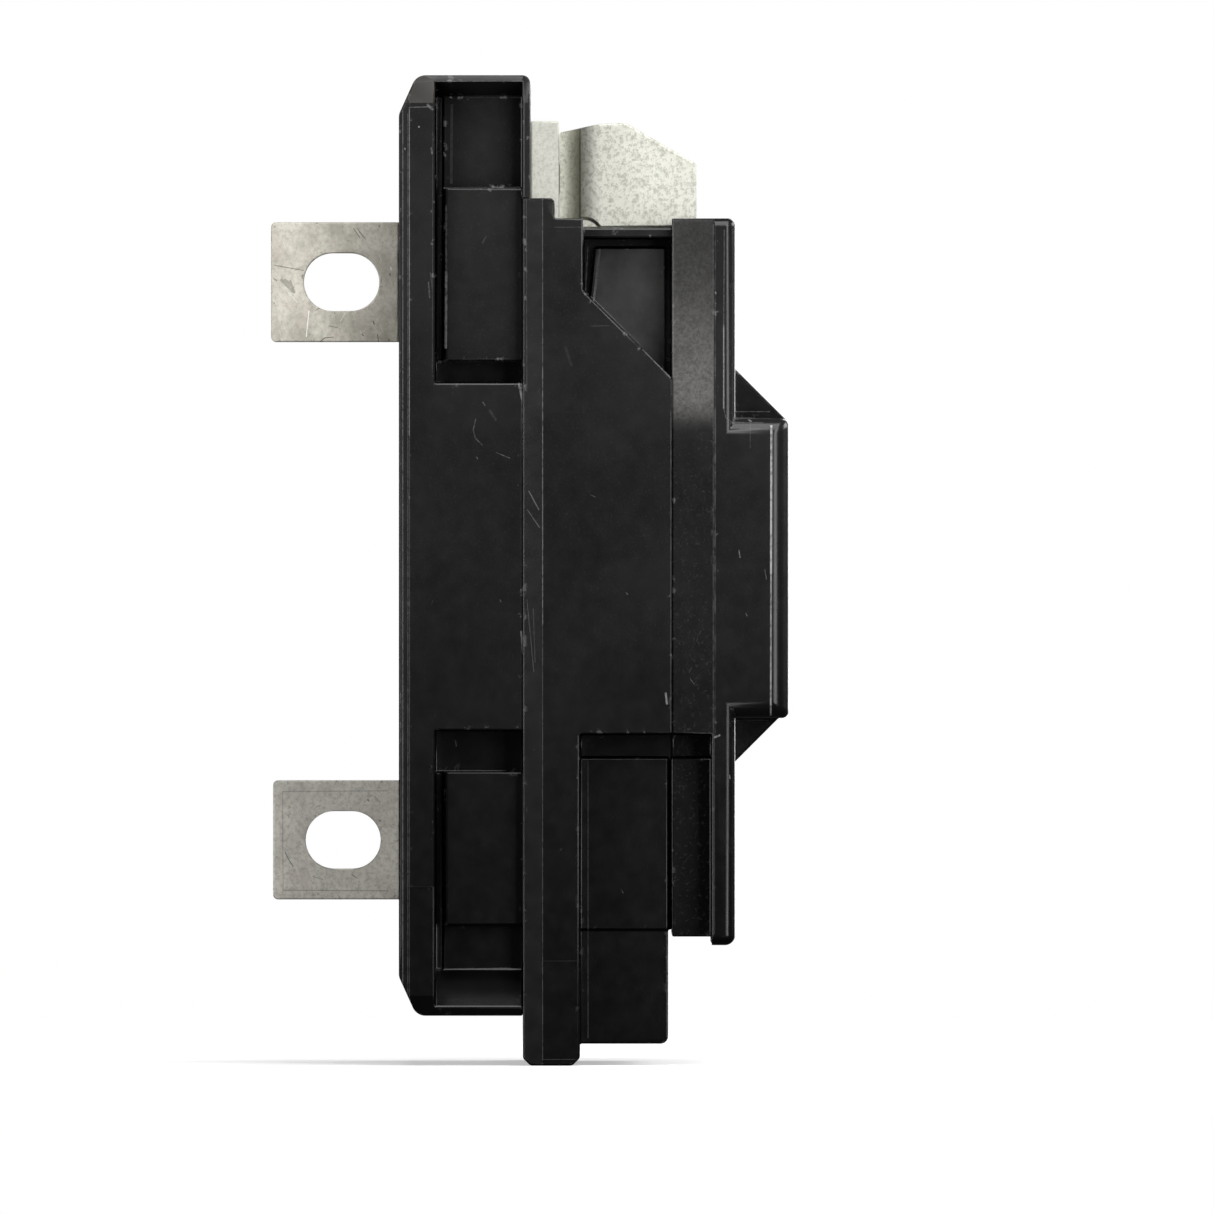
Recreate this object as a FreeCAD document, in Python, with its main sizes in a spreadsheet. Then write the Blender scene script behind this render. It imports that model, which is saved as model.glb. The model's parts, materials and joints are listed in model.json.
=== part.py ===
import FreeCAD, Part
import math
import os
import re

import Sketcher
from FreeCAD import Vector

# Two-pole bolt-on main circuit breaker.
# X runs across the two poles, -Y is the front (handle side), +Z is up.
# The origin lies on the rear mounting face, half-way between the two bus slots.
# Outlines are written as (depth, height): depth is measured forwards from the
# rear face, so a depth of d lies at Y = -d.

DIMENSIONS = {
    # How far cutting and joining shapes run past the faces that they meet
    "overlap": 1.0,
    # Clearances: turned and pinned fits, seats of still parts, parts that run free
    "fit_clearance": 0.05,
    "bed_clearance": 0.1,
    "seat_clearance": 0.3,
    # Outer widths of the three mouldings, from the middle plane
    "case_half": 50.8,
    "base_half": 50.0,
    "cover_band_half": 50.3,
    # Rear base
    "base_depth": 19.65,
    "extension_depth": 20.8,
    "base_top": 77.1,
    "base_bottom": -72.0,
    "corner_run": 2.8,
    "corner_rise": 6.2,
    "rim_bevel_run": 1.75,
    "rim_bevel_rise": 1.1,
    "end_bevel": 4.4,
    "end_bevel_rise": 1.1,
    "extension_round": 1.2,
    "rear_corner_round": 2.2,
    "upper_rim": 1.0,
    "lower_rim": 0.6,
    "plateau_round": 0.8,
    "rim_step_height": -51.6,
    "rim_step": 0.3,
    "pocket_rear": 5.7,
    "plateau_rear": 7.0,
    "plateau_half": 46.0,
    "slot_floor_half": 38.5,
    "groove_floor_half": 41.0,
    "upper_pocket_low": 28.3,
    "upper_plateau_low": 31.9,
    "upper_plateau_high": 59.2,
    "upper_floor_half": 43.5,
    "upper_floor_high": 73.9,
    "upper_pocket_high": 76.1,
    "lower_pocket_high": -26.7,
    "lower_plateau_high": -33.4,
    "lower_plateau_low": -57.6,
    "lower_floor_half": 42.5,
    "lower_floor_low": -64.7,
    "lower_pocket_low": -70.7,
    # Middle case
    "case_bottom": -79.9,
    "column_chamfer": 1.2,
    "shoulder_round": 0.8,
    "step_round": 1.2,
    "column_front": 28.7,
    "strip_depth": 22.8,
    "strip_rise": 0.6,
    "shoulder_height": 57.6,
    "shoulder_depth": 24.7,
    "case_top": 54.4,
    "window_rear": 29.2,
    "window_high": 52.9,
    "window_corner": 43.0,
    "window_low": 29.1,
    "case_front": 43.3,
    "lip_low": 51.4,
    "lip_half": 47.0,
    "panel_high": 49.8,
    "panel_rear": 31.2,
    "panel_front": 42.2,
    "panel_half": 41.5,
    "panel_lean": 1.0,
    "panel_root": 41.0,
    "panel_foot": 38.1,
    "panel_toe": 26.1,
    "recess_high": -27.3,
    "recess_slot_low": -31.1,
    "recess_floor_half": 41.8,
    "recess_front": 42.7,
    "step_high": -58.4,
    "step_low": -76.5,
    "step_half": 41.2,
    # Front cover
    "cover_band_front": 50.1,
    "cover_edge_round": 1.1,
    "cover_bottom_round": 1.6,
    "cover_side_round": 1.5,
    "boss_side_round": 2.6,
    "guard_setback": 0.3,
    "cover_lip_rear": 49.6,
    "cover_front": 53.3,
    "cover_bottom": -60.8,
    "cover_floor_low": -59.5,
    "boss_front": 61.8,
    "boss_high": 22.7,
    "boss_low": -24.8,
    "ramp_high": 30.8,
    "ramp_low": -31.9,
    "ramp_inner": 10.4,
    "ramp_outer": 16.0,
    "channel_half": 9.0,
    "channel_floor": 57.0,
    "handle_wall_rear": 54.5,
    "handle_opening_half": 6.5,
    "handle_opening_rise": 10.6,
    "lug_notch_low": 50.2,
    "lug_notch_half": 12.4,
    # Inner bays
    "bay_half": 36.5,
    "bay_high": 49.0,
    "bay_low": -57.6,
    "base_bay_high": 26.0,
    "base_floor": 3.5,
    "wall_inner": 10.5,
    "wall_outer": 12.5,
    "bay_gate_low": -53.0,
    "bay_gate_high": -8.0,
    "cover_bay_front": 50.3,
    "cover_bay_high": 47.5,
    "cover_wall": 4.0,
    "boss_bay_front": 58.6,
    "foot_bay_low": -70.5,
    "foot_bay_high": -60.1,
    "foot_bay_front": 39.7,
    # Poles
    "pole_offset": 24.0,
    "bus_spacing": 88.9,
    "bus_width": 19.05,
    "bus_thickness": 3.2,
    "bus_reach": 20.4,
    "bus_slot_half": 4.6,
    "bus_slot_length": 12.0,
    "bus_slot_reach": 9.2,
    "bus_clearance": 0.2,
    "bus_shoulder": 0.3,
    "tab_corner_round": 0.8,
    "bar_rear": 4.2,
    "bar_front": 7.8,
    "foot_front": 12.3,
    "foot_low": -54.0,
    "foot_high": -44.0,
    "line_strap_rear": 20.85,
    "line_strap_front": 25.4,
    "line_strap_half": 8.0,
    "line_strap_low": 16.0,
    "line_strap_high": 70.0,
    "contact_low": 19.5,
    "contact_high": 26.5,
    "contact_half": 3.5,
    "contact_face": 27.0,
    "contact_gap": 0.03,
    "arm_rear": 28.6,
    "arm_half": 1.6,
    "arm_tip": 28.4,
    "arm_foot": -23.6,
    "arm_heel": 2.4,
    "arm_front": 2.2,
    "arm_neck_low": 16.5,
    "arm_tip_depth": 3.4,
    "arm_bevel": 1.0,
    "arm_neck_depth": 4.0,
    "contact_border": 0.4,
    # Lugs
    "lug_half": 11.0,
    "lug_rear": 25.5,
    "lug_front": 47.2,
    "lug_low": 53.2,
    "lug_high": 69.7,
    "lug_chamfer_depth": 36.0,
    "lug_chamfer_height": 63.2,
    "lug_waist_half": 4.8,
    "lug_waist_front": 28.8,
    "lug_sweep": 3.0,
    "lug_shoulder_depth": 31.8,
    "lug_shoulder_height": 69.5,
    "lug_waist_height": 68.2,
    "lug_foot_depth": 29.3,
    "lug_foot_height": 51.5,
    "lug_foot_radius": 2.75,
    "lug_foot_groove": 0.55,
    "lug_foot_inset": 0.4,
    "lug_foot_width": 3.0,
    "wire_bore_radius": 7.0,
    "wire_bore_depth": 34.6,
    "lug_screw_height": 58.2,
    "lug_screw_radius": 4.0,
    "lug_screw_front": 46.8,
    "lug_screw_length": 5.1,
    "lug_fixing_radius": 2.2,
    "lug_fixing_height": 61.0,
    "lug_fixing_grip": 1.1,
    "hex_socket_radius": 2.32,
    "hex_socket_depth": 3.0,
    # Arc chutes
    "chute_half": 10.3,
    "chute_wall": 1.1,
    "chute_low": 21.0,
    "chute_high": 47.4,
    "chute_rear": 27.6,
    "chute_front": 42.6,
    "plate_first": 29.4,
    "plate_pitch": 2.6,
    "plate_thickness": 1.2,
    "plate_low": 22.0,
    "plate_high": 46.0,
    "plate_notch_half": 3.4,
    "plate_notch_high": 32.0,
    # Mechanism
    "handle_depth": 38.0,
    "handle_height": -1.0,
    "handle_tilt": 18.0,
    "handle_pin_radius": 2.0,
    "handle_hub_radius": 8.6,
    "handle_hub_half": 3.0,
    "handle_grip_half": 6.0,
    "handle_grip_rise": 3.3,
    "handle_grip_end": 23.3,
    "grip_root": 7.0,
    "grip_taper": 4.0,
    "grip_nose": 1.0,
    "grip_neck": 12.0,
    "groove_first": 2.2,
    "groove_pitch": 1.3,
    "groove_width": 0.6,
    "groove_cut": 0.5,
    "shield_outer": 15.8,
    "shield_inner": 14.4,
    "shield_half": 7.2,
    "shield_angle": 61.0,
    "toggle_pin_radius": 1.5,
    "knee_radius": 6.5,
    "knee_angle": 35.0,
    "crank_radius": 12.0,
    "crank_angle": 40.0,
    "link_inner": 3.3,
    "link_outer": 4.7,
    "link_width": 5.2,
    "crossbar_depth": 33.0,
    "crossbar_height": -17.5,
    "crossbar_radius": 5.0,
    "journal_radius": 4.0,
    "crank_boss_radius": 2.8,
    "crank_web_low": 3.0,
    "crank_web_root": 2.0,
    "crank_web_rear": 1.4,
    "crank_web_front": 1.6,
    "crank_web_rise": 2.2,
    "socket_half": 4.5,
    "socket_base": 3.0,
    "socket_wall_rear": 4.6,
    "socket_front": 7.0,
    "socket_high": 14.0,
    "contact_spring_height": 11.0,
    "contact_spring_rear": 1.7,
    "contact_spring_front": 4.5,
    "contact_spring_radius": 2.2,
    "contact_spring_wire": 0.35,
    "operating_spring_radius": 1.2,
    "operating_spring_wire": 0.25,
    "frame_inner": 8.2,
    "frame_outer": 9.4,
    "frame_wall": 1.2,
    "frame_web_high": 19.6,
    "pin_reach": 0.5,
    "link_pin_reach": 0.2,
    "frame_high": 24.0,
    "frame_low": -26.0,
    "frame_rear": 21.2,
    "frame_front": 43.0,
    "open_pivot_clearance": 0.22,
    "cradle_depth": 26.0,
    "cradle_height": 16.0,
    "cradle_inner": 5.3,
    "cradle_outer": 6.7,
    "cradle_eye_radius": 3.4,
    "cradle_rear": 3.4,
    "cradle_spine": 0.6,
    "cradle_top_half": 3.0,
    "cradle_bend": -8.0,
    "latch_neck": -30.0,
    "latch_high": -32.5,
    "latch_low": -36.0,
    "latch_reach": 3.6,
    "trip_depth": 32.5,
    "trip_height": -45.0,
    "trip_radius": 3.0,
    "trip_journal_radius": 1.5,
    "finger_rear": 29.2,
    "finger_front": 31.6,
    "finger_high": -28.5,
    "finger_half": 3.0,
    "finger_root": 2.0,
    "catch_rear": 29.8,
    "catch_front": 33.5,
    "catch_high": -32.0,
    "catch_half": 2.9,
    "catch_reach": 0.4,
    "trip_journal_reach": 1.5,
    "trip_spring_rear": 33.8,
    "trip_spring_front": 43.2,
    "trip_spring_height": -38.0,
    "trip_spring_radius": 2.4,
    "trip_spring_wire": 0.3,
    "bimetal_front": 13.5,
    "bimetal_high": -28.0,
    "bimetal_half": 4.0,
    "calibration_height": -31.0,
    "calibration_radius": 1.25,
    "calibration_gap": 0.3,
    "calibration_sink": 0.8,
    "braid_half": 3.0,
    "braid_seat": 1.2,
    "braid_head": 1.0,
    "braid_bend_depth": 20.0,
    "braid_bend_high": 4.2,
    "braid_thickness": 1.6,
    "braid_end_high": 1.3,
    "braid_end_low": 0.3,
    "yoke_half": 6.8,
    "yoke_wall": 1.5,
    "yoke_rear": 8.2,
    "yoke_front": 18.0,
    "yoke_low": -42.0,
    "yoke_high": -33.2,
    "armature_rear": 19.6,
    "armature_front": 21.0,
    "armature_low": -56.8,
    "armature_high": -33.2,
    "armature_half": 7.0,
    "knuckle_depth": 20.3,
    "knuckle_height": -56.0,
    "knuckle_radius": 1.1,
    "knuckle_reach": 1.5,
    # Case screws
    "screw_offset": 43.5,
    "screw_high": 18.5,
    "screw_low": -20.5,
    "screw_radius": 2.0,
    "screw_head_radius": 3.8,
    "screw_head_rear": 54.0,
    "screw_head_front": 56.8,
    "screw_head_gap": 0.4,
    "screw_tip": 8.0,
    "driver_slot_width": 1.2,
    "driver_slot_depth": 1.1,
}

doc = FreeCAD.newDocument("CircuitBreaker")
sheet = doc.addObject("Spreadsheet::Sheet", "dims")
for row, (alias, number) in enumerate(DIMENSIONS.items(), start=1):
    sheet.set("A%d" % row, alias)
    sheet.set("B%d" % row, str(number))
    sheet.setAlias("B%d" % row, alias)
doc.recompute()

WORD = re.compile(r"[a-z_]{4,}")
ROLES = {"side": "YZ_Plane", "front": "XZ_Plane", "top": "XY_Plane"}
POLES = {"left": "-pole_offset", "right": "pole_offset"}
PLATE_COUNT = 5
GROOVE_COUNT = 3
TOUCHING = 0.01
GROUPS = {"cover_screws", "lug_fixing_screws", "calibration_screws"}
finished = []


def formula(text):
    """Turn an expression in the sheet's aliases into one FreeCAD can bind."""
    return WORD.sub(lambda word: "dims." + word.group(), text)


def number(text):
    """Present value of an expression in the sheet's aliases."""
    return float(sheet.evalExpression(formula(text)))


def new_body(label):
    body = doc.addObject("PartDesign::Body", label)
    body.Label = label
    finished.append(body)
    return body


def new_sketch(body, view, start):
    """Sketch on one of the body's own planes, moved along its normal to start.

    side: sketch x is Y (minus the depth), sketch y is Z, normal is +X
    front: sketch x is X, sketch y is Z, normal is the depth direction
    top: sketch x is X, sketch y is Y (minus the depth), normal is +Z
    """
    plane = next(f for f in body.Origin.OriginFeatures if f.Role == ROLES[view])
    sketch = body.newObject("Sketcher::SketchObject", body.Label + "_sketch")
    sketch.AttachmentSupport = (plane, "")
    sketch.MapMode = "FlatFace"
    sketch.setExpression("AttachmentOffset.Base.z", formula(start))
    return sketch


def sketch_point(view, point):
    """A point's two sketch coordinates, as expressions."""
    first, second = point
    if view == "side":
        return "-(%s)" % first, second
    if view == "top":
        return first, "-(%s)" % second
    return first, second


def pin_point(sketch, geometry, place, point):
    """Hold a sketch point at its two expressions."""
    for kind, text in zip(("DistanceX", "DistanceY"), point):
        index = sketch.addConstraint(
            Sketcher.Constraint(kind, -1, 1, geometry, place, number(text)))
        sketch.setExpression("Constraints[%d]" % index, formula(text))


def draw_outline(sketch, view, points):
    corners = [sketch_point(view, point) for point in points]
    places = [Vector(number(a), number(b), 0) for a, b in corners]
    count = len(places)
    for index in range(count):
        sketch.addGeometry(Part.LineSegment(places[index], places[(index + 1) % count]))
    for index in range(count):
        sketch.addConstraint(
            Sketcher.Constraint("Coincident", index, 2, (index + 1) % count, 1))
        pin_point(sketch, index, 1, corners[index])


def draw_circle(sketch, view, centre, radius):
    point = sketch_point(view, centre)
    place = Vector(number(point[0]), number(point[1]), 0)
    index = sketch.addGeometry(Part.Circle(place, Vector(0, 0, 1), number(radius)))
    pin_point(sketch, index, 3, point)
    size = sketch.addConstraint(Sketcher.Constraint("Radius", index, number(radius)))
    sketch.setExpression("Constraints[%d]" % size, formula(radius))


def extrude(body, sketch, start, end, kind):
    """Pad or pocket a sketch from start to end along its normal."""
    before = body.Shape.Volume if body.Tip else 0.0
    feature = body.newObject("PartDesign::" + kind, body.Label + "_" + kind.lower())
    feature.Profile = sketch
    feature.setExpression("Length", formula("(%s) - (%s)" % (end, start)))
    feature.Reversed = kind == "Pocket"
    doc.recompute()
    change = body.Shape.Volume - before
    if (change > 0) != (kind == "Pad"):
        raise RuntimeError("%s of %s changed nothing" % (kind, body.Label))
    return feature


def outline(body, view, points, start, end, kind="Pad"):
    sketch = new_sketch(body, view, start)
    draw_outline(sketch, view, points)
    return extrude(body, sketch, start, end, kind)


def disc(body, view, centre, radius, start, end, kind="Pad"):
    sketch = new_sketch(body, view, start)
    draw_circle(sketch, view, centre, radius)
    return extrude(body, sketch, start, end, kind)


def box_points(low_first, high_first, low_second, high_second):
    return [(low_first, low_second), (high_first, low_second),
            (high_first, high_second), (low_first, high_second)]


def block(body, view, low, high, start, end, kind="Pad"):
    """Rectangle from corner low to corner high, drawn in the given view."""
    points = box_points(low[0], high[0], low[1], high[1])
    return outline(body, view, points, start, end, kind)


def both_sides(body, points, floor, outer):
    """The same pocket cut from the left and from the right side face."""
    outline(body, "side", points, floor, outer, "Pocket")
    outline(body, "side", points, "-(%s)" % outer, "-(%s)" % floor, "Pocket")


def both_ways(body, view, points, start, end, kind="Pocket"):
    """The same feature and its mirror image in the middle plane X = 0."""
    mirrored = [("-(%s)" % first, second) for first, second in points]
    outline(body, view, points, start, end, kind)
    outline(body, view, mirrored, start, end, kind)


def round_edges(body, chosen, radius, kind="Fillet"):
    """Fillet or chamfer the edges that chosen(edge) picks from the body's tip."""
    tip = body.Tip
    names = []
    for index, edge in enumerate(tip.Shape.Edges, start=1):
        if chosen(edge):
            names.append("Edge%d" % index)
    if not names:
        raise RuntimeError("no edge to round on " + body.Label)
    feature = body.newObject("PartDesign::" + kind, body.Label + "_" + kind.lower())
    feature.Base = (tip, names)
    feature.setExpression("Radius" if kind == "Fillet" else "Size", formula(radius))
    doc.recompute()
    return feature


def along_x(places):
    """Chooser of edges parallel to X that pass through (depth, height) places."""
    corners = [(-number(depth), number(height)) for depth, height in places]

    def chosen(edge):
        ends = [vertex.Point for vertex in edge.Vertexes]
        if len(ends) != 2 or abs(ends[0].x - ends[1].x) < number("overlap"):
            return False
        return any(all(abs(p.y - y) < TOUCHING and abs(p.z - z) < TOUCHING for p in ends)
                   for y, z in corners)
    return chosen


def along_z(places):
    """Chooser of edges parallel to Z that pass through (x, depth) places."""
    corners = [(number(x), -number(depth)) for x, depth in places]

    def chosen(edge):
        ends = [vertex.Point for vertex in edge.Vertexes]
        if len(ends) != 2 or abs(ends[0].z - ends[1].z) < number("overlap"):
            return False
        return any(all(abs(p.x - x) < TOUCHING and abs(p.y - y) < TOUCHING for p in ends)
                   for x, y in corners)
    return chosen


def mirrored_places(places):
    return list(places) + [("-(%s)" % x, depth) for x, depth in places]


def screw_places():
    return [(x, z) for x in ("screw_offset", "-screw_offset")
            for z in ("screw_high", "screw_low")]


def pole_box(pole, half, low, high):
    """Front-view rectangle centred on a pole."""
    centre = POLES[pole]
    return box_points("%s - (%s)" % (centre, half), "%s + %s" % (centre, half), low, high)


def make_rear_base():
    base = new_body("rear_base")
    outline(base, "side", [
        ("0", "base_bottom + corner_rise"),
        ("corner_run", "base_bottom"),
        ("base_depth", "base_bottom"),
        ("base_depth", "shoulder_height"),
        ("extension_depth", "shoulder_height"),
        ("extension_depth", "base_top"),
        ("corner_run", "base_top"),
        ("0", "base_top - corner_rise"),
    ], "-base_half", "base_half")
    round_edges(base, along_x([("extension_depth", "base_top")]), "extension_round")
    round_edges(base, along_x([
        ("0", "base_bottom + corner_rise"), ("corner_run", "base_bottom"),
        ("0", "base_top - corner_rise"), ("corner_run", "base_top")]), "rear_corner_round")
    # Bevel down both long rear edges, and slanted ends of the side faces
    outside = "base_half + overlap"
    both_ways(base, "top", [
        ("base_half - rim_bevel_rise", "-overlap"), (outside, "-overlap"),
        (outside, "rim_bevel_run"), ("base_half", "rim_bevel_run"),
        ("base_half - rim_bevel_rise", "0")],
        "base_bottom - overlap", "base_top + overlap")
    for end, inward in (("base_top", "-"), ("base_bottom", "+")):
        bevel_start = "%s %s end_bevel" % (end, inward)
        both_ways(base, "front", [
            ("base_half", bevel_start), (outside, bevel_start), (outside, end),
            ("base_half - end_bevel_rise", end)], "-overlap", "extension_depth + overlap")
    cut_base_side_pockets(base)
    cut_base_bays(base)
    for x, z in screw_places():
        disc(base, "front", (x, z), "screw_radius + fit_clearance", "screw_tip - overlap",
             "base_depth + overlap", "Pocket")


def cut_base_side_pockets(base):
    """Stepped hollows above and below the plain middle of each side face."""
    outer = "base_half + overlap"
    front = "base_depth"
    both_sides(base, box_points("-overlap", "pocket_rear", "base_bottom - overlap",
                                "rim_step_height"), "base_half - rim_step", outer)
    both_sides(base, box_points("pocket_rear", front, "upper_pocket_low", "upper_plateau_low"),
               "slot_floor_half", outer)
    both_sides(base, box_points("pocket_rear", front, "upper_plateau_low",
                                "upper_plateau_high"), "plateau_half", outer)
    both_sides(base, box_points("pocket_rear", "plateau_rear", "upper_plateau_low",
                                "upper_floor_high"), "groove_floor_half", outer)
    both_ways(base, "front", [
        ("upper_floor_half", "upper_plateau_high"), (outer, "upper_plateau_high"),
        (outer, "upper_pocket_high"), ("base_half - upper_rim", "upper_pocket_high"),
        ("upper_floor_half", "upper_floor_high")], "pocket_rear", front)
    both_sides(base, box_points("pocket_rear", front, "lower_plateau_high",
                                "lower_pocket_high"), "slot_floor_half", outer)
    both_sides(base, box_points("pocket_rear", front, "lower_plateau_low",
                                "lower_plateau_high"), "plateau_half", outer)
    both_sides(base, box_points("pocket_rear", "plateau_rear", "lower_floor_low",
                                "lower_plateau_high"), "groove_floor_half", outer)
    both_ways(base, "front", [
        ("lower_floor_half", "lower_floor_low"), ("base_half - lower_rim", "lower_pocket_low"),
        (outer, "lower_pocket_low"), (outer, "lower_plateau_low"),
        ("lower_floor_half", "lower_plateau_low")], "pocket_rear", front)
    round_edges(base, along_z(mirrored_places([("plateau_half", "plateau_rear")])),
                "plateau_round")


def cut_base_bays(base):
    """Hollows for the mechanism and the poles, and the ways for the bus straps."""
    open_front = "base_depth + overlap"
    behind = "-overlap"
    tab_depth = "base_floor + overlap"
    block(base, "front", ("-wall_inner", "bay_low"), ("wall_inner", "base_bay_high"),
          "base_floor", open_front, "Pocket")
    both_ways(base, "front", box_points("wall_outer", "bay_half", "bay_low",
                                        "base_bay_high"), "base_floor", open_front)
    slit = "bus_thickness / 2 + bus_clearance"
    tab_low = "bus_spacing / 2 - bus_width / 2 - bus_clearance"
    tab_high = "bus_spacing / 2 + bus_width / 2 + bus_clearance"
    outline(base, "front", pole_box("left", slit, "base_bay_high - overlap", tab_high),
            "base_floor", "extension_depth + overlap", "Pocket")
    outline(base, "front", pole_box("left", slit, tab_low, tab_high),
            behind, tab_depth, "Pocket")
    outline(base, "front", pole_box("right", slit, "-(%s)" % tab_high, "-(%s)" % tab_low),
            behind, tab_depth, "Pocket")


def make_middle_case():
    case = new_body("middle_case")
    outline(case, "side", [
        ("base_depth", "case_bottom"), ("column_front", "case_bottom"),
        ("column_front", "recess_high"), ("case_front", "recess_high"),
        ("case_front", "window_low"), ("window_rear", "window_corner"),
        ("window_rear", "case_top"), ("shoulder_depth", "case_top"),
        ("shoulder_depth", "shoulder_height"), ("base_depth", "shoulder_height"),
    ], "-case_half", "case_half")
    round_edges(case, along_x([("base_depth", "case_bottom"),
                               ("column_front", "case_bottom")]), "column_chamfer", "Chamfer")
    round_edges(case, along_x([("shoulder_depth", "shoulder_height")]), "shoulder_round")
    rear = "base_depth - overlap"
    outside = "case_half + overlap"
    both_ways(case, "top", [
        ("case_half - strip_rise", rear), (outside, rear), (outside, "strip_depth"),
        ("case_half", "strip_depth"), ("case_half - strip_rise", "base_depth")],
        "case_bottom - overlap", "shoulder_height + overlap")
    # Body of the side windows, stepping inwards from the side faces
    window = "window_rear - overlap"
    column = "column_front - overlap"
    inner_steps = [
        ("slot_floor_half", window, "case_front", "window_low - overlap", "window_high"),
        ("lip_half", window, "case_front", "lip_low", "window_high"),
        ("slot_floor_half", column, "case_front", "step_high", "recess_high + overlap"),
        ("recess_floor_half", column, "recess_front", "step_high", "recess_slot_low"),
        ("step_half", column, "recess_front", "step_low", "step_high"),
    ]
    for half, start, front, low, high in inner_steps:
        block(case, "side", (start, low), (front, high), "-" + half, half)
    outline(case, "side", [
        ("panel_rear - panel_lean", "panel_foot"), ("panel_front", "panel_toe"),
        ("panel_front", "panel_high"),
        ("panel_rear", "panel_high"), ("panel_rear - panel_lean", "panel_root")],
        "-panel_half", "panel_half")
    round_edges(case, along_x([("recess_front", "step_low")]), "step_round")
    cut_case_bays(case)
    for x, z in screw_places():
        disc(case, "front", (x, z), "screw_radius + seat_clearance", rear,
             "case_front + overlap", "Pocket")


def cut_case_bays(case):
    """Three bays side by side, open at the rear and at the front."""
    rear = "base_depth - overlap"
    front = "case_front + overlap"
    top = "shoulder_height + overlap"
    block(case, "front", ("-wall_inner", "bay_low"), ("wall_inner", "bay_high"),
          rear, front, "Pocket")
    both_ways(case, "front", box_points("wall_outer", "bay_half", "bay_low", "bay_high"),
              rear, front)
    block(case, "front", ("-wall_outer - overlap", "bay_gate_low"),
          ("wall_outer + overlap", "bay_gate_high"), rear, front, "Pocket")
    block(case, "front", ("-bay_half", "foot_bay_low"), ("bay_half", "foot_bay_high"),
          rear, "foot_bay_front", "Pocket")
    for pole in POLES:
        outline(case, "front", pole_box(pole, "line_strap_half + seat_clearance",
                                        "bay_high - overlap", top),
                rear, "lug_rear", "Pocket")
        outline(case, "front", pole_box(pole, "lug_half + seat_clearance",
                                        "lug_low - bed_clearance", top),
                rear, front, "Pocket")
    journal_end = "(bay_half + trip_journal_reach + seat_clearance)"
    disc(case, "side", ("trip_depth", "trip_height"),
         "trip_journal_radius + fit_clearance", "-" + journal_end, journal_end, "Pocket")


def make_front_cover():
    cover = new_body("front_cover")
    sunk = "cover_front - overlap"
    band = "cover_band_front + overlap"
    block(cover, "side", ("cover_band_front", "cover_bottom"), ("cover_front", "case_top"),
          "-case_half", "case_half")
    block(cover, "side", ("cover_lip_rear", "cover_bottom"), (band, "recess_high"),
          "-case_half", "case_half")
    block(cover, "side", ("case_front", "recess_high"), (band, "case_top"),
          "-cover_band_half", "cover_band_half")
    block(cover, "side", ("case_front", "recess_slot_low - overlap"),
          (sunk, "recess_high + overlap"), "-slot_floor_half", "slot_floor_half")
    block(cover, "side", ("case_front", "cover_floor_low"), (sunk, "recess_slot_low"),
          "-recess_floor_half", "recess_floor_half")
    block(cover, "side", (sunk, "boss_low"), ("boss_front", "boss_high"),
          "-case_half", "case_half")
    round_edges(cover, along_x([("cover_front", "case_top"), ("boss_front", "boss_high"),
                                ("boss_front", "boss_low")]), "cover_edge_round")
    round_edges(cover, along_x([("cover_front", "cover_bottom")]), "cover_bottom_round")
    round_edges(cover, along_z(mirrored_places([("case_half", "boss_front")])),
                "boss_side_round")
    round_edges(cover, along_z(mirrored_places([("case_half", "cover_front")])),
                "cover_side_round")
    # Guards each side of the handle, with ends that slope at 45 degrees
    guard_front = "boss_front - guard_setback"
    rise = "(%s - cover_front)" % guard_front
    guard = [
        (sunk, "ramp_low"), ("cover_front", "ramp_low"), (guard_front, "ramp_low + " + rise),
        (guard_front, "ramp_high - " + rise), ("cover_front", "ramp_high"),
        (sunk, "ramp_high")]
    outline(cover, "side", guard, "ramp_inner", "ramp_outer")
    outline(cover, "side", guard, "-ramp_outer", "-ramp_inner")
    cut_cover_bays(cover)
    for x, z in screw_places():
        disc(cover, "front", (x, z), "screw_radius + seat_clearance",
             "case_front - overlap", "boss_front + overlap", "Pocket")
        disc(cover, "front", (x, z), "screw_head_radius + screw_head_gap",
             "screw_head_rear", "boss_front + overlap", "Pocket")


def cut_cover_bays(cover):
    """Hollow behind the cover, handle channel and opening, and lug notches."""
    rear = "case_front - overlap"
    bay = "cover_bay_front - overlap"
    low = "boss_low + cover_wall"
    high = "boss_high - cover_wall"
    block(cover, "front", ("-bay_half", "recess_high + cover_wall"),
          ("bay_half", "cover_bay_high"), rear, "cover_bay_front", "Pocket")
    both_ways(cover, "front", box_points("ramp_outer", "bay_half", low, high), bay,
              "boss_bay_front")
    block(cover, "front", ("-ramp_outer - overlap", low), ("ramp_outer + overlap", high),
          bay, "handle_wall_rear", "Pocket")
    block(cover, "front", ("-channel_half", "boss_low - overlap"),
          ("channel_half", "boss_high + overlap"), "channel_floor",
          "boss_front + overlap", "Pocket")
    block(cover, "front",
          ("-handle_opening_half", "handle_height - handle_opening_rise"),
          ("handle_opening_half", "handle_height + handle_opening_rise"),
          "handle_wall_rear - overlap", "channel_floor + overlap", "Pocket")
    for pole in POLES:
        outline(cover, "front", pole_box(pole, "lug_notch_half", "lug_notch_low",
                                         "case_top + overlap"),
                rear, "cover_front + overlap", "Pocket")


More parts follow.
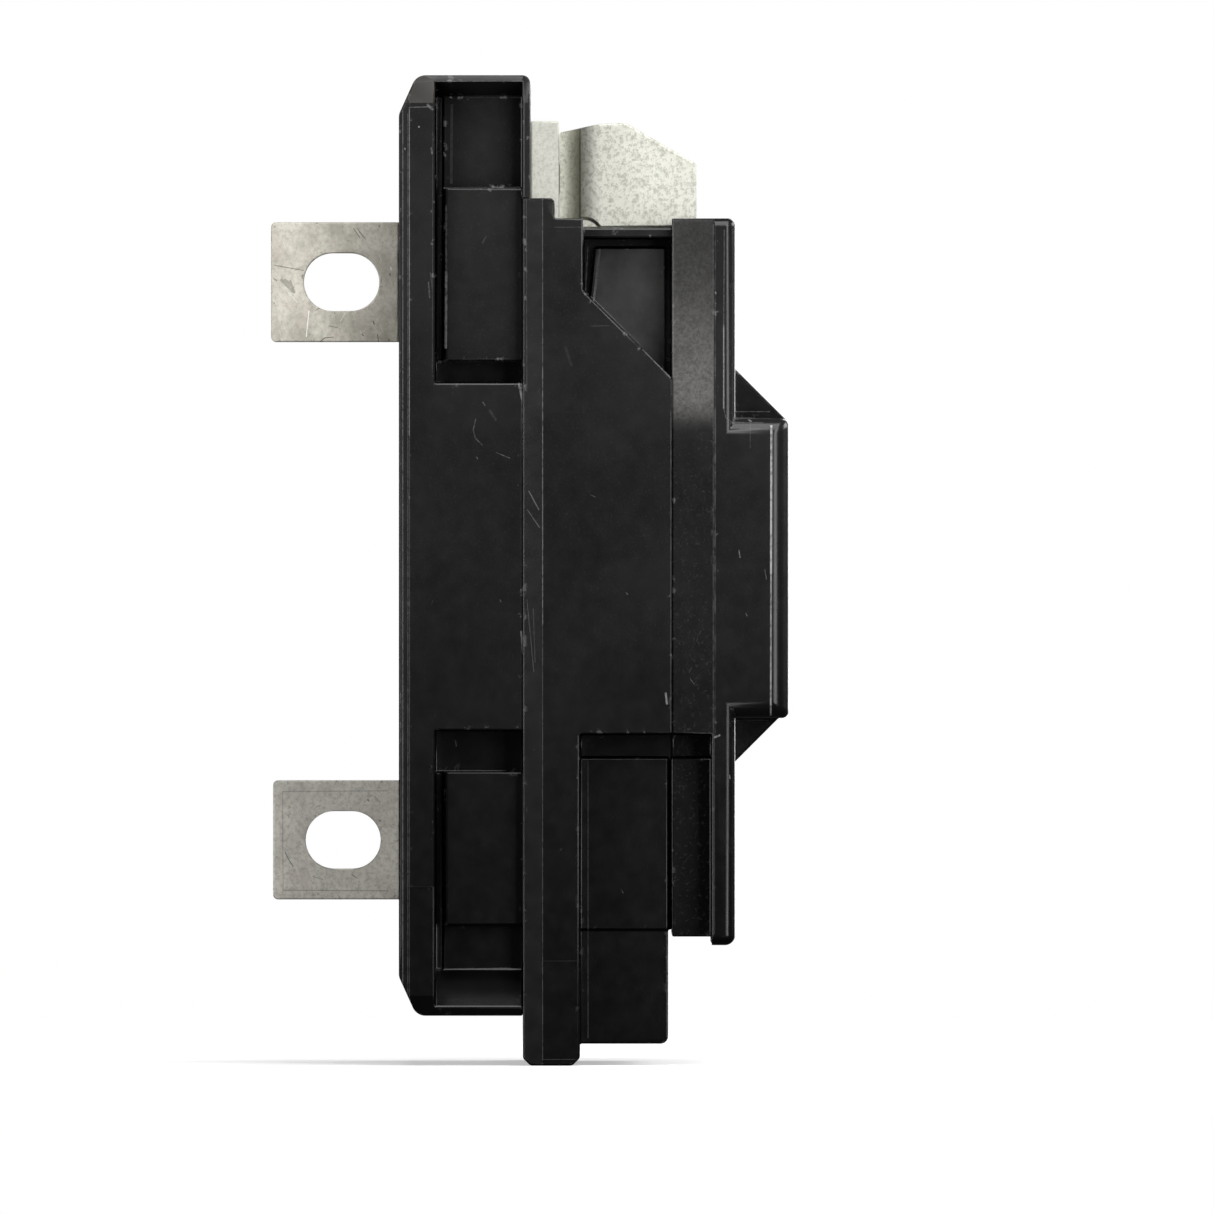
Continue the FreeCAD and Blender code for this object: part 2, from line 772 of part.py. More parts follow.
def make_cover_screws():
    """Four identical long screws through the cover and the case into the base."""
    screws = []
    for index, (x, z) in enumerate(screw_places()):
        shank = doc.addObject("Part::Cylinder", "screw_shank_%d" % index)
        shank.setExpression("Radius", formula("screw_radius"))
        shank.setExpression("Height", formula("screw_head_rear - screw_tip"))
        head = doc.addObject("Part::Cylinder", "screw_head_%d" % index)
        head.setExpression("Radius", formula("screw_head_radius"))
        head.setExpression("Height", formula("screw_head_front - screw_head_rear"))
        slot = doc.addObject("Part::Box", "screw_slot_%d" % index)
        slot.setExpression("Length", formula("2 * (screw_head_radius + overlap)"))
        slot.setExpression("Width", formula("driver_slot_width"))
        slot.setExpression("Height", formula("driver_slot_depth + overlap"))
        lay_forwards(shank, x, z, "screw_tip")
        lay_forwards(head, x, z, "screw_head_rear")
        lay_forwards(slot, x + " - screw_head_radius - overlap",
                     z + " - driver_slot_width / 2", "screw_head_front - driver_slot_depth")
        whole = join("screw_solid_%d" % index, [shank, head])
        screws.append(cut("screw_%d" % index, whole, slot))
    compound = doc.addObject("Part::Compound", "cover_screws")
    compound.Links = screws
    compound.Label = "cover_screws"
    finished.append(compound)


def lay_forwards(thing, x, z, depth):
    """Turn a primitive so that its height runs forwards from the given depth."""
    thing.Placement = FreeCAD.Placement(
        Vector(number(x), -number(depth), number(z)),
        FreeCAD.Rotation(Vector(1, 0, 0), 90))
    thing.setExpression("Placement.Base.x", formula(x))
    thing.setExpression("Placement.Base.y", formula("-(%s)" % depth))
    thing.setExpression("Placement.Base.z", formula(z))


def join(name, pieces):
    fused = doc.addObject("Part::MultiFuse", name)
    fused.Shapes = pieces
    return fused


def cut(name, base, tool):
    result = doc.addObject("Part::Cut", name)
    result.Base = base
    result.Tool = tool
    return result


def make_pole(pole):
    x = POLES[pole]
    make_line_side(pole, x)
    make_load_side(pole, x)
    make_arc_chute(pole, x)
    make_trip_unit(pole, x)


def make_line_side(pole, x):
    """Strap, lug, its screws and the fixed contact of one pole."""
    strap = new_body("line_strap_" + pole)
    outline(strap, "front", pole_box(pole, "line_strap_half", "line_strap_low",
                                     "line_strap_high"), "line_strap_rear",
            "line_strap_front")
    disc(strap, "front", (x, "lug_fixing_height"), "lug_fixing_radius + fit_clearance",
         "line_strap_rear - overlap", "line_strap_front + overlap", "Pocket")
    contact = new_body("fixed_contact_" + pole)
    outline(contact, "front", pole_box(pole, "contact_half", "contact_low",
                                       "contact_high"), "line_strap_front", "contact_face")
    make_lug(pole, x)
    screw = new_body("lug_set_screw_" + pole)
    disc(screw, "front", (x, "lug_screw_height"), "lug_screw_radius",
         "lug_screw_front - lug_screw_length", "lug_screw_front")
    cut_hex(screw, (x, "lug_screw_height"), "hex_socket_radius",
            "lug_screw_front - hex_socket_depth", "lug_screw_front + overlap")


def make_lug(pole, x):
    """Wire lug: a block on a waisted neck, with its bore, screw holes and foot."""
    lug = new_body("line_lug_" + pole)
    outer = (x + " - lug_half", x + " + lug_half")
    waist = (x + " - lug_waist_half", x + " + lug_waist_half")
    outline(lug, "top", [
        (waist[0], "lug_rear"), (waist[1], "lug_rear"), (waist[1], "lug_waist_front"),
        (outer[1], "lug_waist_front"), (outer[1], "lug_front"), (outer[0], "lug_front"),
        (outer[0], "lug_waist_front"), (waist[0], "lug_waist_front")],
        "lug_low", "lug_high")
    round_edges(lug, along_z([(edge, "lug_waist_front") for edge in outer + waist]),
                "lug_sweep")
    outside = (outer[0] + " - overlap", outer[1] + " + overlap")
    above = "lug_high + overlap"
    ahead = "lug_front + overlap"
    behind = "lug_rear - overlap"
    outline(lug, "side", [
        (ahead, "lug_chamfer_height"), ("lug_front", "lug_chamfer_height"),
        ("lug_chamfer_depth", "lug_high"), ("lug_chamfer_depth", above), (ahead, above)],
        outside[0], outside[1], "Pocket")
    outline(lug, "side", [
        (behind, "lug_waist_height"), ("lug_rear", "lug_waist_height"),
        ("lug_shoulder_depth", "lug_shoulder_height"), ("lug_chamfer_depth", "lug_high"),
        ("lug_chamfer_depth", above), (behind, above)], outside[0], outside[1], "Pocket")
    # Rounded foot in each lower rear corner, standing in a groove
    groove = "(lug_foot_radius + lug_foot_groove)"
    foot = ("lug_foot_depth", "lug_foot_height")
    for face, sign in zip(outer, ("+", "-")):
        ends = [face, "%s %s lug_foot_width" % (face, sign)]
        raised = ["%s %s lug_foot_inset" % (face, sign), ends[1]]
        if sign == "-":
            ends.reverse()
            raised.reverse()
        disc(lug, "side", foot, groove, ends[0], ends[1], "Pocket")
        disc(lug, "side", foot, "lug_foot_radius", raised[0], raised[1])
    block(lug, "side", (behind, "lug_foot_height - " + groove), (ahead, "lug_low"),
          outside[0], outside[1], "Pocket")
    disc(lug, "top", (x, "wire_bore_depth"), "wire_bore_radius", "lug_low - overlap",
         above, "Pocket")
    disc(lug, "front", (x, "lug_screw_height"), "lug_screw_radius + fit_clearance",
         "wire_bore_depth", ahead, "Pocket")
    disc(lug, "front", (x, "lug_fixing_height"), "lug_fixing_radius", behind,
         "lug_rear + lug_fixing_grip + bed_clearance", "Pocket")


def cut_hex(body, centre, radius, start, end):
    """Hexagonal socket seen from the front."""
    points = []
    for corner in range(6):
        angle = 60 * corner
        points.append(("%s + (%s) * cos(%d)" % (centre[0], radius, angle),
                       "%s + (%s) * sin(%d)" % (centre[1], radius, angle)))
    outline(body, "front", points, start, end, "Pocket")


def make_lug_fixing_screws():
    """The two identical screws that hold the lugs to their straps."""
    screws = []
    for pole, x in POLES.items():
        shank = doc.addObject("Part::Cylinder", "lug_fixing_" + pole)
        shank.setExpression("Radius", formula("lug_fixing_radius"))
        shank.setExpression("Height",
                            formula("lug_rear + lug_fixing_grip - line_strap_rear"))
        lay_forwards(shank, x, "lug_fixing_height", "line_strap_rear")
        screws.append(shank)
    compound = doc.addObject("Part::Compound", "lug_fixing_screws")
    compound.Links = screws
    compound.Label = "lug_fixing_screws"
    finished.append(compound)


def make_load_side(pole, x):
    """Bus strap: a tab out of the rear face and a bar inside that ends in a foot."""
    sign = "" if pole == "left" else "-"
    centre = "(%sbus_spacing / 2)" % sign
    tab_low = centre + " - bus_width / 2"
    tab_high = centre + " + bus_width / 2"
    start = x + " - bus_thickness / 2"
    end = x + " + bus_thickness / 2"
    inner_start = start + " + bus_shoulder"
    inner_end = end + " - bus_shoulder"
    strap = new_body("load_strap_" + pole)
    block(strap, "side", ("-bus_reach", tab_low), ("-bus_shoulder", tab_high), start, end)
    block(strap, "side", ("-bus_shoulder - overlap", tab_low), ("bar_front", tab_high),
          inner_start, inner_end)
    if pole == "left":
        block(strap, "side", ("bar_rear", "foot_low"), ("bar_front", tab_high),
              inner_start, inner_end)
    block(strap, "side", ("bar_rear", "foot_low"), ("foot_front", "foot_high"),
          inner_start, inner_end)
    half_run = "(bus_slot_length / 2 - bus_slot_half)"
    block(strap, "side", ("-bus_slot_reach - %s" % half_run, centre + " - bus_slot_half"),
          ("-bus_slot_reach + %s" % half_run, centre + " + bus_slot_half"),
          start, end, "Pocket")
    for side in ("-", "+"):
        disc(strap, "side", ("-bus_slot_reach %s %s" % (side, half_run), centre),
             "bus_slot_half", start, end, "Pocket")
    round_edges(strap, along_x([("-bus_reach", tab_low), ("-bus_reach", tab_high)]),
                "tab_corner_round")


def make_arc_chute(pole, x):
    """Fibre trough with steel plates across the path of the moving contact."""
    frame = new_body("arc_chute_" + pole)
    block(frame, "front", (x + " - chute_half", "chute_low"),
          (x + " + chute_half", "chute_high"), "chute_rear", "chute_front")
    block(frame, "front", (x + " - chute_half + chute_wall", "chute_low - overlap"),
          (x + " + chute_half - chute_wall", "chute_high - chute_wall"),
          "chute_rear - overlap", "chute_front + overlap", "Pocket")
    inside = "chute_half - chute_wall - fit_clearance"
    notch = (x + " - plate_notch_half", x + " + plate_notch_half")
    for index in range(PLATE_COUNT):
        rear = "plate_first + %d * plate_pitch" % index
        plate = new_body("arc_plate_%s_%d" % (pole, index + 1))
        outline(plate, "front", [
            ("%s - (%s)" % (x, inside), "plate_low"), (notch[0], "plate_low"),
            (x, "plate_notch_high"), (notch[1], "plate_low"),
            ("%s + %s" % (x, inside), "plate_low"), ("%s + %s" % (x, inside), "plate_high"),
            ("%s - (%s)" % (x, inside), "plate_high")], rear, rear + " + plate_thickness")
        block(plate, "front", (notch[0], "plate_low - overlap"),
              (notch[1], "plate_notch_high - overlap"),
              rear, rear + " + plate_thickness", "Pocket")


def make_trip_unit(pole, x):
    """Bimetal strip, magnet yoke, armature and braid of one pole."""
    strip = new_body("bimetal_" + pole)
    outline(strip, "front", pole_box(pole, "bimetal_half", "foot_low", "bimetal_high"),
            "foot_front", "bimetal_front")
    disc(strip, "front", (x, "calibration_height"), "calibration_radius + fit_clearance",
         "foot_front - overlap", "bimetal_front + overlap", "Pocket")
    yoke = new_body("magnet_yoke_" + pole)
    outline(yoke, "front", pole_box(pole, "yoke_half", "yoke_low", "yoke_high"),
            "yoke_rear", "yoke_front")
    outline(yoke, "front", pole_box(pole, "yoke_half - yoke_wall", "yoke_low - overlap",
                                    "yoke_high + overlap"),
            "yoke_rear + yoke_wall", "yoke_front + overlap", "Pocket")
    armature = new_body("armature_" + pole)
    outline(armature, "front", pole_box(pole, "armature_half", "armature_low",
                                        "armature_high"), "armature_rear",
            "armature_front")
    disc(armature, "side", ("knuckle_depth", "knuckle_height"), "knuckle_radius",
         x + " - armature_half - knuckle_reach", x + " + armature_half + knuckle_reach")
    braid = new_body("braid_" + pole)
    outline(braid, "side", [
        ("bimetal_front", "bimetal_high - braid_seat"),
        ("bimetal_front", "bimetal_high + braid_head"),
        ("braid_bend_depth", "bimetal_high + braid_bend_high"),
        ("crossbar_depth - arm_heel", "arm_foot + braid_end_high"),
        ("crossbar_depth - arm_heel", "arm_foot - braid_end_low"),
        ("braid_bend_depth", "bimetal_high + braid_bend_high - braid_thickness")],
        x + " - braid_half", x + " + braid_half")


def make_calibration_screws():
    """The two identical screws that reach from the bimetals to the trip bar."""
    screws = []
    for pole, x in POLES.items():
        shank = doc.addObject("Part::Cylinder", "calibration_" + pole)
        shank.setExpression("Radius", formula("calibration_radius"))
        shank.setExpression("Height", formula(
            "finger_rear - calibration_gap - foot_front + calibration_sink"))
        lay_forwards(shank, x, "calibration_height", "foot_front - calibration_sink")
        screws.append(shank)
    compound = doc.addObject("Part::Compound", "calibration_screws")
    compound.Links = screws
    compound.Label = "calibration_screws"
    finished.append(compound)


KNEE = ("(handle_depth - knee_radius * cos(knee_angle))",
        "(handle_height + knee_radius * sin(knee_angle))")
CRANK = ("(crossbar_depth - crank_radius * cos(crank_angle))",
         "(crossbar_height + crank_radius * sin(crank_angle))")


def make_mechanism_frame():
    frame = new_body("mechanism_frame")
    block(frame, "side", ("frame_rear", "frame_low"), ("frame_front", "frame_high"),
          "-frame_outer", "frame_outer")
    below = "frame_low - overlap"
    block(frame, "side", ("frame_rear + frame_wall", below),
          ("frame_front + overlap", "frame_high + overlap"),
          "-frame_inner", "frame_inner", "Pocket")
    block(frame, "front", ("-frame_inner", below), ("frame_inner", "frame_web_high"),
          "frame_rear - overlap", "frame_rear + frame_wall + overlap", "Pocket")
    outside = "frame_outer + overlap"
    disc(frame, "side", ("crossbar_depth", "crossbar_height"),
         "journal_radius + fit_clearance", "-(%s)" % outside, outside, "Pocket")
    for centre, radius in ((("handle_depth", "handle_height"), "handle_pin_radius"),
                           (("cradle_depth", "cradle_height"), "toggle_pin_radius")):
        disc(frame, "side", centre, radius, "-(%s)" % outside, outside, "Pocket")


def make_pin(label, centre, radius, half_length):
    pin = new_body(label)
    disc(pin, "side", centre, radius, "-(%s)" % half_length, half_length)


def make_handle():
    """Toggle handle, drawn straight about its own axis and then tilted upwards."""
    handle = new_body("handle")
    disc(handle, "side", ("0", "0"), "shield_outer", "-shield_half", "shield_half")
    disc(handle, "side", ("0", "0"), "shield_inner", "-shield_half", "shield_half", "Pocket")
    beyond = "shield_outer + overlap"
    block(handle, "side", ("-(%s)" % beyond, "-(%s)" % beyond),
          ("shield_outer * cos(shield_angle)", beyond),
          "-shield_half - overlap", "shield_half + overlap", "Pocket")
    outline(handle, "side", [
        ("grip_root", "-handle_grip_rise"),
        ("handle_grip_end - grip_taper", "-handle_grip_rise"),
        ("handle_grip_end", "-handle_grip_rise + grip_nose"),
        ("handle_grip_end", "handle_grip_rise - grip_nose"),
        ("handle_grip_end - grip_taper", "handle_grip_rise"),
        ("grip_root", "handle_grip_rise")],
        "-handle_grip_half", "handle_grip_half")
    disc(handle, "side", ("0", "0"), "handle_hub_radius", "-handle_hub_half",
         "handle_hub_half")
    grip_side = "handle_grip_half + overlap"
    for start, end in (("handle_hub_half", grip_side),
                       ("-(%s)" % grip_side, "-handle_hub_half")):
        block(handle, "side", ("0", "-handle_hub_radius"), ("grip_neck", "handle_hub_radius"),
              start, end, "Pocket")
    for row in range(GROOVE_COUNT):
        depth = "handle_grip_end - groove_first - %d * groove_pitch" % row
        for edge in ("-handle_grip_rise - overlap", "handle_grip_rise - groove_cut"):
            block(handle, "side", (depth, edge),
                  (depth + " + groove_width", edge + " + groove_cut + overlap"),
                  "-(%s)" % grip_side, grip_side, "Pocket")
    hub_side = "handle_hub_half + overlap"
    disc(handle, "side", ("0", "0"), "handle_pin_radius + fit_clearance",
         "-(%s)" % hub_side, hub_side, "Pocket")
    turned = "(knee_angle + handle_tilt)"
    disc(handle, "side", ("-knee_radius * cos%s" % turned, "knee_radius * sin%s" % turned),
         "toggle_pin_radius", "-(%s)" % hub_side, hub_side, "Pocket")
    handle.Placement = FreeCAD.Placement(
        Vector(0, -number("handle_depth"), number("handle_height")),
        FreeCAD.Rotation(Vector(1, 0, 0), -number("handle_tilt")))
    handle.setExpression("Placement.Base.y", formula("-handle_depth"))
    handle.setExpression("Placement.Base.z", formula("handle_height"))


def make_toggle_links():
    """Two flat links from the handle's knee pin to the crossbar's crank pin."""
    run = (number(CRANK[0]) - number(KNEE[0]), number(CRANK[1]) - number(KNEE[1]))
    length = math.hypot(*run)
    across = (-run[1] / length, run[0] / length)
    half = "link_width / 2"
    corners = []
    for centre, sign in ((KNEE, 1), (CRANK, 1), (CRANK, -1), (KNEE, -1)):
        corners.append(("%s + %s * (%.6f)" % (centre[0], half, sign * across[0]),
                        "%s + %s * (%.6f)" % (centre[1], half, sign * across[1])))
    for name, start, end in (("left", "-link_outer", "-link_inner"),
                             ("right", "link_inner", "link_outer")):
        link = new_body("toggle_link_" + name)
        outline(link, "side", corners, start, end)
        for centre in (KNEE, CRANK):
            disc(link, "side", centre, half, start, end)
        for centre, clearance in ((KNEE, "fit_clearance"), (CRANK, "open_pivot_clearance")):
            disc(link, "side", centre, "toggle_pin_radius + " + clearance, start, end,
                 "Pocket")


def make_crossbar():
    """Moulded bar that carries both contact arms, with a crank in the middle."""
    centre = ("crossbar_depth", "crossbar_height")
    bar = new_body("crossbar")
    disc(bar, "side", centre, "journal_radius", "-bay_half + overlap", "bay_half - overlap")
    sleeves = [("-bay_half + overlap", "-frame_outer - seat_clearance"),
               ("frame_outer + seat_clearance", "bay_half - overlap"),
               ("-frame_inner + seat_clearance", "frame_inner - seat_clearance")]
    for start, end in sleeves:
        disc(bar, "side", centre, "crossbar_radius", start, end)
    outline(bar, "side", [
        ("crossbar_depth - overlap", "crossbar_height - crank_web_low"),
        ("crossbar_depth + crank_web_root", "crossbar_height + crank_web_root"),
        (CRANK[0] + " + crank_web_front", CRANK[1] + " + crank_web_rise"),
        (CRANK[0] + " - crank_web_rear", CRANK[1] + " - crank_web_rise")],
        "-handle_hub_half", "handle_hub_half")
    disc(bar, "side", CRANK, "crank_boss_radius", "-handle_hub_half", "handle_hub_half")
    disc(bar, "side", CRANK, "toggle_pin_radius", "-handle_hub_half - overlap",
         "handle_hub_half + overlap", "Pocket")
    for x in POLES.values():
        start = x + " - socket_half"
        end = x + " + socket_half"
        block(bar, "side", ("crossbar_depth", "crossbar_height"),
              ("crossbar_depth + socket_front", "crossbar_height + socket_base"), start, end)
        block(bar, "side", ("crossbar_depth + socket_wall_rear", "crossbar_height"),
              ("crossbar_depth + socket_front", "crossbar_height + socket_high"), start, end)
        outline(bar, "side", arm_points(), x + " - arm_half", x + " + arm_half", "Pocket")


def arm_points():
    """Side view of a contact arm, from its foot in the crossbar up to its tip."""
    heel = "crossbar_depth - arm_heel"
    front = "crossbar_depth + arm_front"
    return [(heel, "arm_foot"), (heel, "crossbar_height"), ("arm_rear", "arm_neck_low"),
            ("arm_rear", "arm_tip - arm_bevel"), ("arm_rear + arm_bevel", "arm_tip"),
            ("arm_rear + arm_tip_depth", "arm_tip"),
            ("arm_rear + arm_neck_depth", "arm_neck_low"), (front, "crossbar_height"),
            (front, "arm_foot")]


def make_contact_arm(pole, x):
    arm = new_body("contact_arm_" + pole)
    outline(arm, "side", arm_points(), x + " - arm_half", x + " + arm_half")
    tip = new_body("moving_contact_" + pole)
    outline(tip, "front", pole_box(pole, "contact_half - contact_border",
                                   "contact_low + contact_border",
                                   "contact_high - contact_border"),
            "contact_face + contact_gap", "arm_rear")


def make_spring(label, start, end, kind, turns):
    """Round-wire coil spring whose axis runs from start to end."""
    axis = end - start
    radius = number(kind + "_radius")
    wire = number(kind + "_wire")
    rise = axis.Length - 2 * wire
    helix = Part.makeHelix(rise / turns, rise, radius)
    ring = Part.Circle(Vector(radius, 0, 0), Vector(0, 1, 0), wire)
    sweep = Part.BRepOffsetAPI.MakePipeShell(Part.Wire(helix.Edges))
    sweep.setFrenetMode(True)
    sweep.add(Part.Wire([ring.toShape()]))
    sweep.build()
    sweep.makeSolid()
    coil = Part.Solid(sweep.shape().Shells[0])
    coil.translate(Vector(0, 0, wire))
    spring = doc.addObject("Part::Feature", label)
    spring.Label = label
    spring.Shape = coil
    spring.Placement = FreeCAD.Placement(start, FreeCAD.Rotation(Vector(0, 0, 1), axis))
    finished.append(spring)


def point(x, depth, height):
    return Vector(number(x), -number(depth), number(height))


def make_springs():
    height = "crossbar_height + contact_spring_height"
    for pole, x in POLES.items():
        make_spring("contact_spring_" + pole,
                    point(x, "crossbar_depth + contact_spring_rear", height),
                    point(x, "crossbar_depth + contact_spring_front", height),
                    "contact_spring", turns=3)
    lane = "-(link_outer + frame_inner) / 2"
    make_spring("operating_spring", point(lane, *KNEE), point(lane, *CRANK),
                "operating_spring", turns=12)
    make_spring("trip_bar_spring", point("0", "trip_spring_rear", "trip_spring_height"),
                point("0", "trip_spring_front", "trip_spring_height"), "trip_spring", turns=5)


def make_cradle():
    """Latched lever beside the toggle links, hung on a pin at its top."""
    cradle = new_body("cradle")
    centre = ("cradle_depth", "cradle_height")
    outline(cradle, "side", [
        ("cradle_depth - cradle_top_half", "cradle_height"),
        ("cradle_depth - cradle_rear", "latch_low"),
        ("cradle_depth + latch_reach", "latch_low"),
        ("cradle_depth + latch_reach", "latch_high"),
        ("cradle_depth + cradle_spine", "latch_neck"),
        ("cradle_depth + cradle_spine", "cradle_bend"),
        ("cradle_depth + cradle_top_half", "cradle_height")], "cradle_inner", "cradle_outer")
    disc(cradle, "side", centre, "cradle_eye_radius", "cradle_inner", "cradle_outer")
    disc(cradle, "side", centre, "toggle_pin_radius + fit_clearance", "cradle_inner",
         "cradle_outer", "Pocket")


def make_trip_bar():
    """Cross shaft with a finger for each pole and a hook for the cradle."""
    centre = ("trip_depth", "trip_height")
    bar = new_body("trip_bar")
    disc(bar, "side", centre, "trip_journal_radius", "-bay_half - trip_journal_reach",
         "bay_half + trip_journal_reach")
    disc(bar, "side", centre, "trip_radius", "-bay_half + seat_clearance",
         "bay_half - seat_clearance")
    for x in POLES.values():
        start = x + " - finger_half"
        end = x + " + finger_half"
        block(bar, "side", ("finger_rear", "trip_height"), ("finger_front", "finger_high"),
              start, end)
        block(bar, "side", ("finger_rear", "trip_height - finger_root"),
              ("trip_depth", "trip_height + finger_root"), start, end)
    block(bar, "side", ("catch_rear", "trip_height"), ("catch_front", "catch_high"),
          "-catch_half", "cradle_outer + catch_reach")


def check_and_write():
    """Refuse a document with a failed object, then write every sub-part."""
    doc.recompute()
    for thing in doc.Objects:
        if "Invalid" in thing.State or "Error" in thing.State:
            raise RuntimeError("%s failed: %s" % (thing.Label, thing.State))
    for piece in finished:
        if piece.Shape.isNull() or not piece.Shape.isValid():
            raise RuntimeError("%s has no valid shape" % piece.Label)
        if piece.Label not in GROUPS and len(piece.Shape.Solids) != 1:
            raise RuntimeError("%s has %d solids" % (piece.Label, len(piece.Shape.Solids)))
    os.makedirs("parts", exist_ok=True)
    for piece in finished:
        piece.Shape.exportStep("parts/%s.step" % piece.Label)
    print("%d sub-parts written" % len(finished))


make_rear_base()
make_middle_case()
make_front_cover()
make_cover_screws()
for pole_name, pole_x in POLES.items():
    make_pole(pole_name)
    make_contact_arm(pole_name, pole_x)
make_lug_fixing_screws()
make_calibration_screws()
make_mechanism_frame()
make_pin("handle_pin", ("handle_depth", "handle_height"), "handle_pin_radius",
         "frame_outer + pin_reach")
make_pin("cradle_pin", ("cradle_depth", "cradle_height"), "toggle_pin_radius",
         "frame_outer + pin_reach")
make_pin("knee_pin", KNEE, "toggle_pin_radius", "link_outer + link_pin_reach")
make_pin("crank_pin", CRANK, "toggle_pin_radius", "link_outer + link_pin_reach")
make_handle()
make_toggle_links()
make_crossbar()
make_cradle()
make_trip_bar()
make_springs()
check_and_write()
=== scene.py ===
import json
import math

import bmesh
import bpy
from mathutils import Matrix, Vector


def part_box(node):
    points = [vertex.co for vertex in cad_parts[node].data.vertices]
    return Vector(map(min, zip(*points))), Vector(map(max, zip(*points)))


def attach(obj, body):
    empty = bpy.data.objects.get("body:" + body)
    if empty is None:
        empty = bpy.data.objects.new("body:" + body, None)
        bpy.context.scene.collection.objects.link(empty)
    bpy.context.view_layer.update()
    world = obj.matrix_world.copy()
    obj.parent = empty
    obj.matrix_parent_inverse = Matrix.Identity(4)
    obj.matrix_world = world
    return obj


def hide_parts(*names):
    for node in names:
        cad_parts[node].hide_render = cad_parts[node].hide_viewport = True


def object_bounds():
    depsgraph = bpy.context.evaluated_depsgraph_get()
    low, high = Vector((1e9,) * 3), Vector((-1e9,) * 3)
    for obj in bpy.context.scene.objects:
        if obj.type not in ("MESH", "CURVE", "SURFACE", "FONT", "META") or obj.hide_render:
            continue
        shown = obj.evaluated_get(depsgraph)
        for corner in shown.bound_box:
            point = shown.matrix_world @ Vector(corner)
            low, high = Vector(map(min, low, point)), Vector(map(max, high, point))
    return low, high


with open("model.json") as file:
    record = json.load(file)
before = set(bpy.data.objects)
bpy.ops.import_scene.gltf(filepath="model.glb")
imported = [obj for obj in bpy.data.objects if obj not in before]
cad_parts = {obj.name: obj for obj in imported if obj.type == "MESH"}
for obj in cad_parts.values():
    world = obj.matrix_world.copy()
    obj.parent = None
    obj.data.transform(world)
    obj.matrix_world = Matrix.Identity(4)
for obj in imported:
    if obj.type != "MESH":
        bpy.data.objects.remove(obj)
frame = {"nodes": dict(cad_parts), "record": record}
cad_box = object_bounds()

MM = 0.001
POLES = ("left", "right")

# Rounded edges: radius for each kind of piece, and the angles that decide what is done
MOULDING_EDGE = 0.28 * MM
HANDLE_EDGE = 0.3 * MM
BUS_EDGE = 0.25 * MM
STRAP_EDGE = 0.3 * MM
LUG_EDGE = 0.35 * MM
SAME_POINT = 0.002 * MM
FLAT_ANGLE = math.radians(0.3)   # faces this close to level become one
CREASE_ANGLE = math.radians(5)   # broad faces that meet above this stay creased
ROUND_ANGLE = math.radians(35)   # and edges above this are rounded
BROAD = 0.5 * MM                 # a broad face has more area than this times its perimeter
MOST_CORNERS = 12                # a face with more corners is cut up before rounding

# The lug windows in the sides of the case
WINDOW_PATCH_TOP = 49.5 * MM
# painted shadow: heights of the near-black band under each window's lip
WINDOW_LIP_SHADOW = (49.7 * MM, 51.3 * MM)

FLOOR_RADIUS = 0.9
FLOOR_GAP = 0.02 * MM
SHADE_HEIGHTS = (-0.072, 0.048, 0.04, 1.0)    # painted shade: the moulding's own tone from low to high, the rest painted near black
CAMERA_DISTANCE = 8000 * MM
VIEW_WIDTH = 192.4 * MM          # what the frame takes in at the near side face
AIM_FORWARDS = 12.3 * MM         # the camera's axis passes this far in front of the middle
AIM_DOWN = 5.8 * MM              # and this far below it
SENSOR_WIDTH = 36

# Name, place, size and power of each light; all of them face the middle of the part
LIGHTS = [
    ("top", (-0.50, -0.15, 0.80), (0.5, 0.9), 6),
    ("front_softbox", (-1.16, -0.50, 0.30), (0.45, 0.95), 7.5),
    ("rear_strip", (-0.22, 1.10, 0.10), (0.14, 0.8), 2.6),
    ("rear_fill", (-0.95, 0.75, 0.10), (0.45, 0.8), 6.3),
    ("right_softbox", (1.10, -0.45, 0.35), (0.45, 0.95), 6),
    ("front_fill", (0.30, -1.25, 0.50), (0.9, 0.7), 13),
]
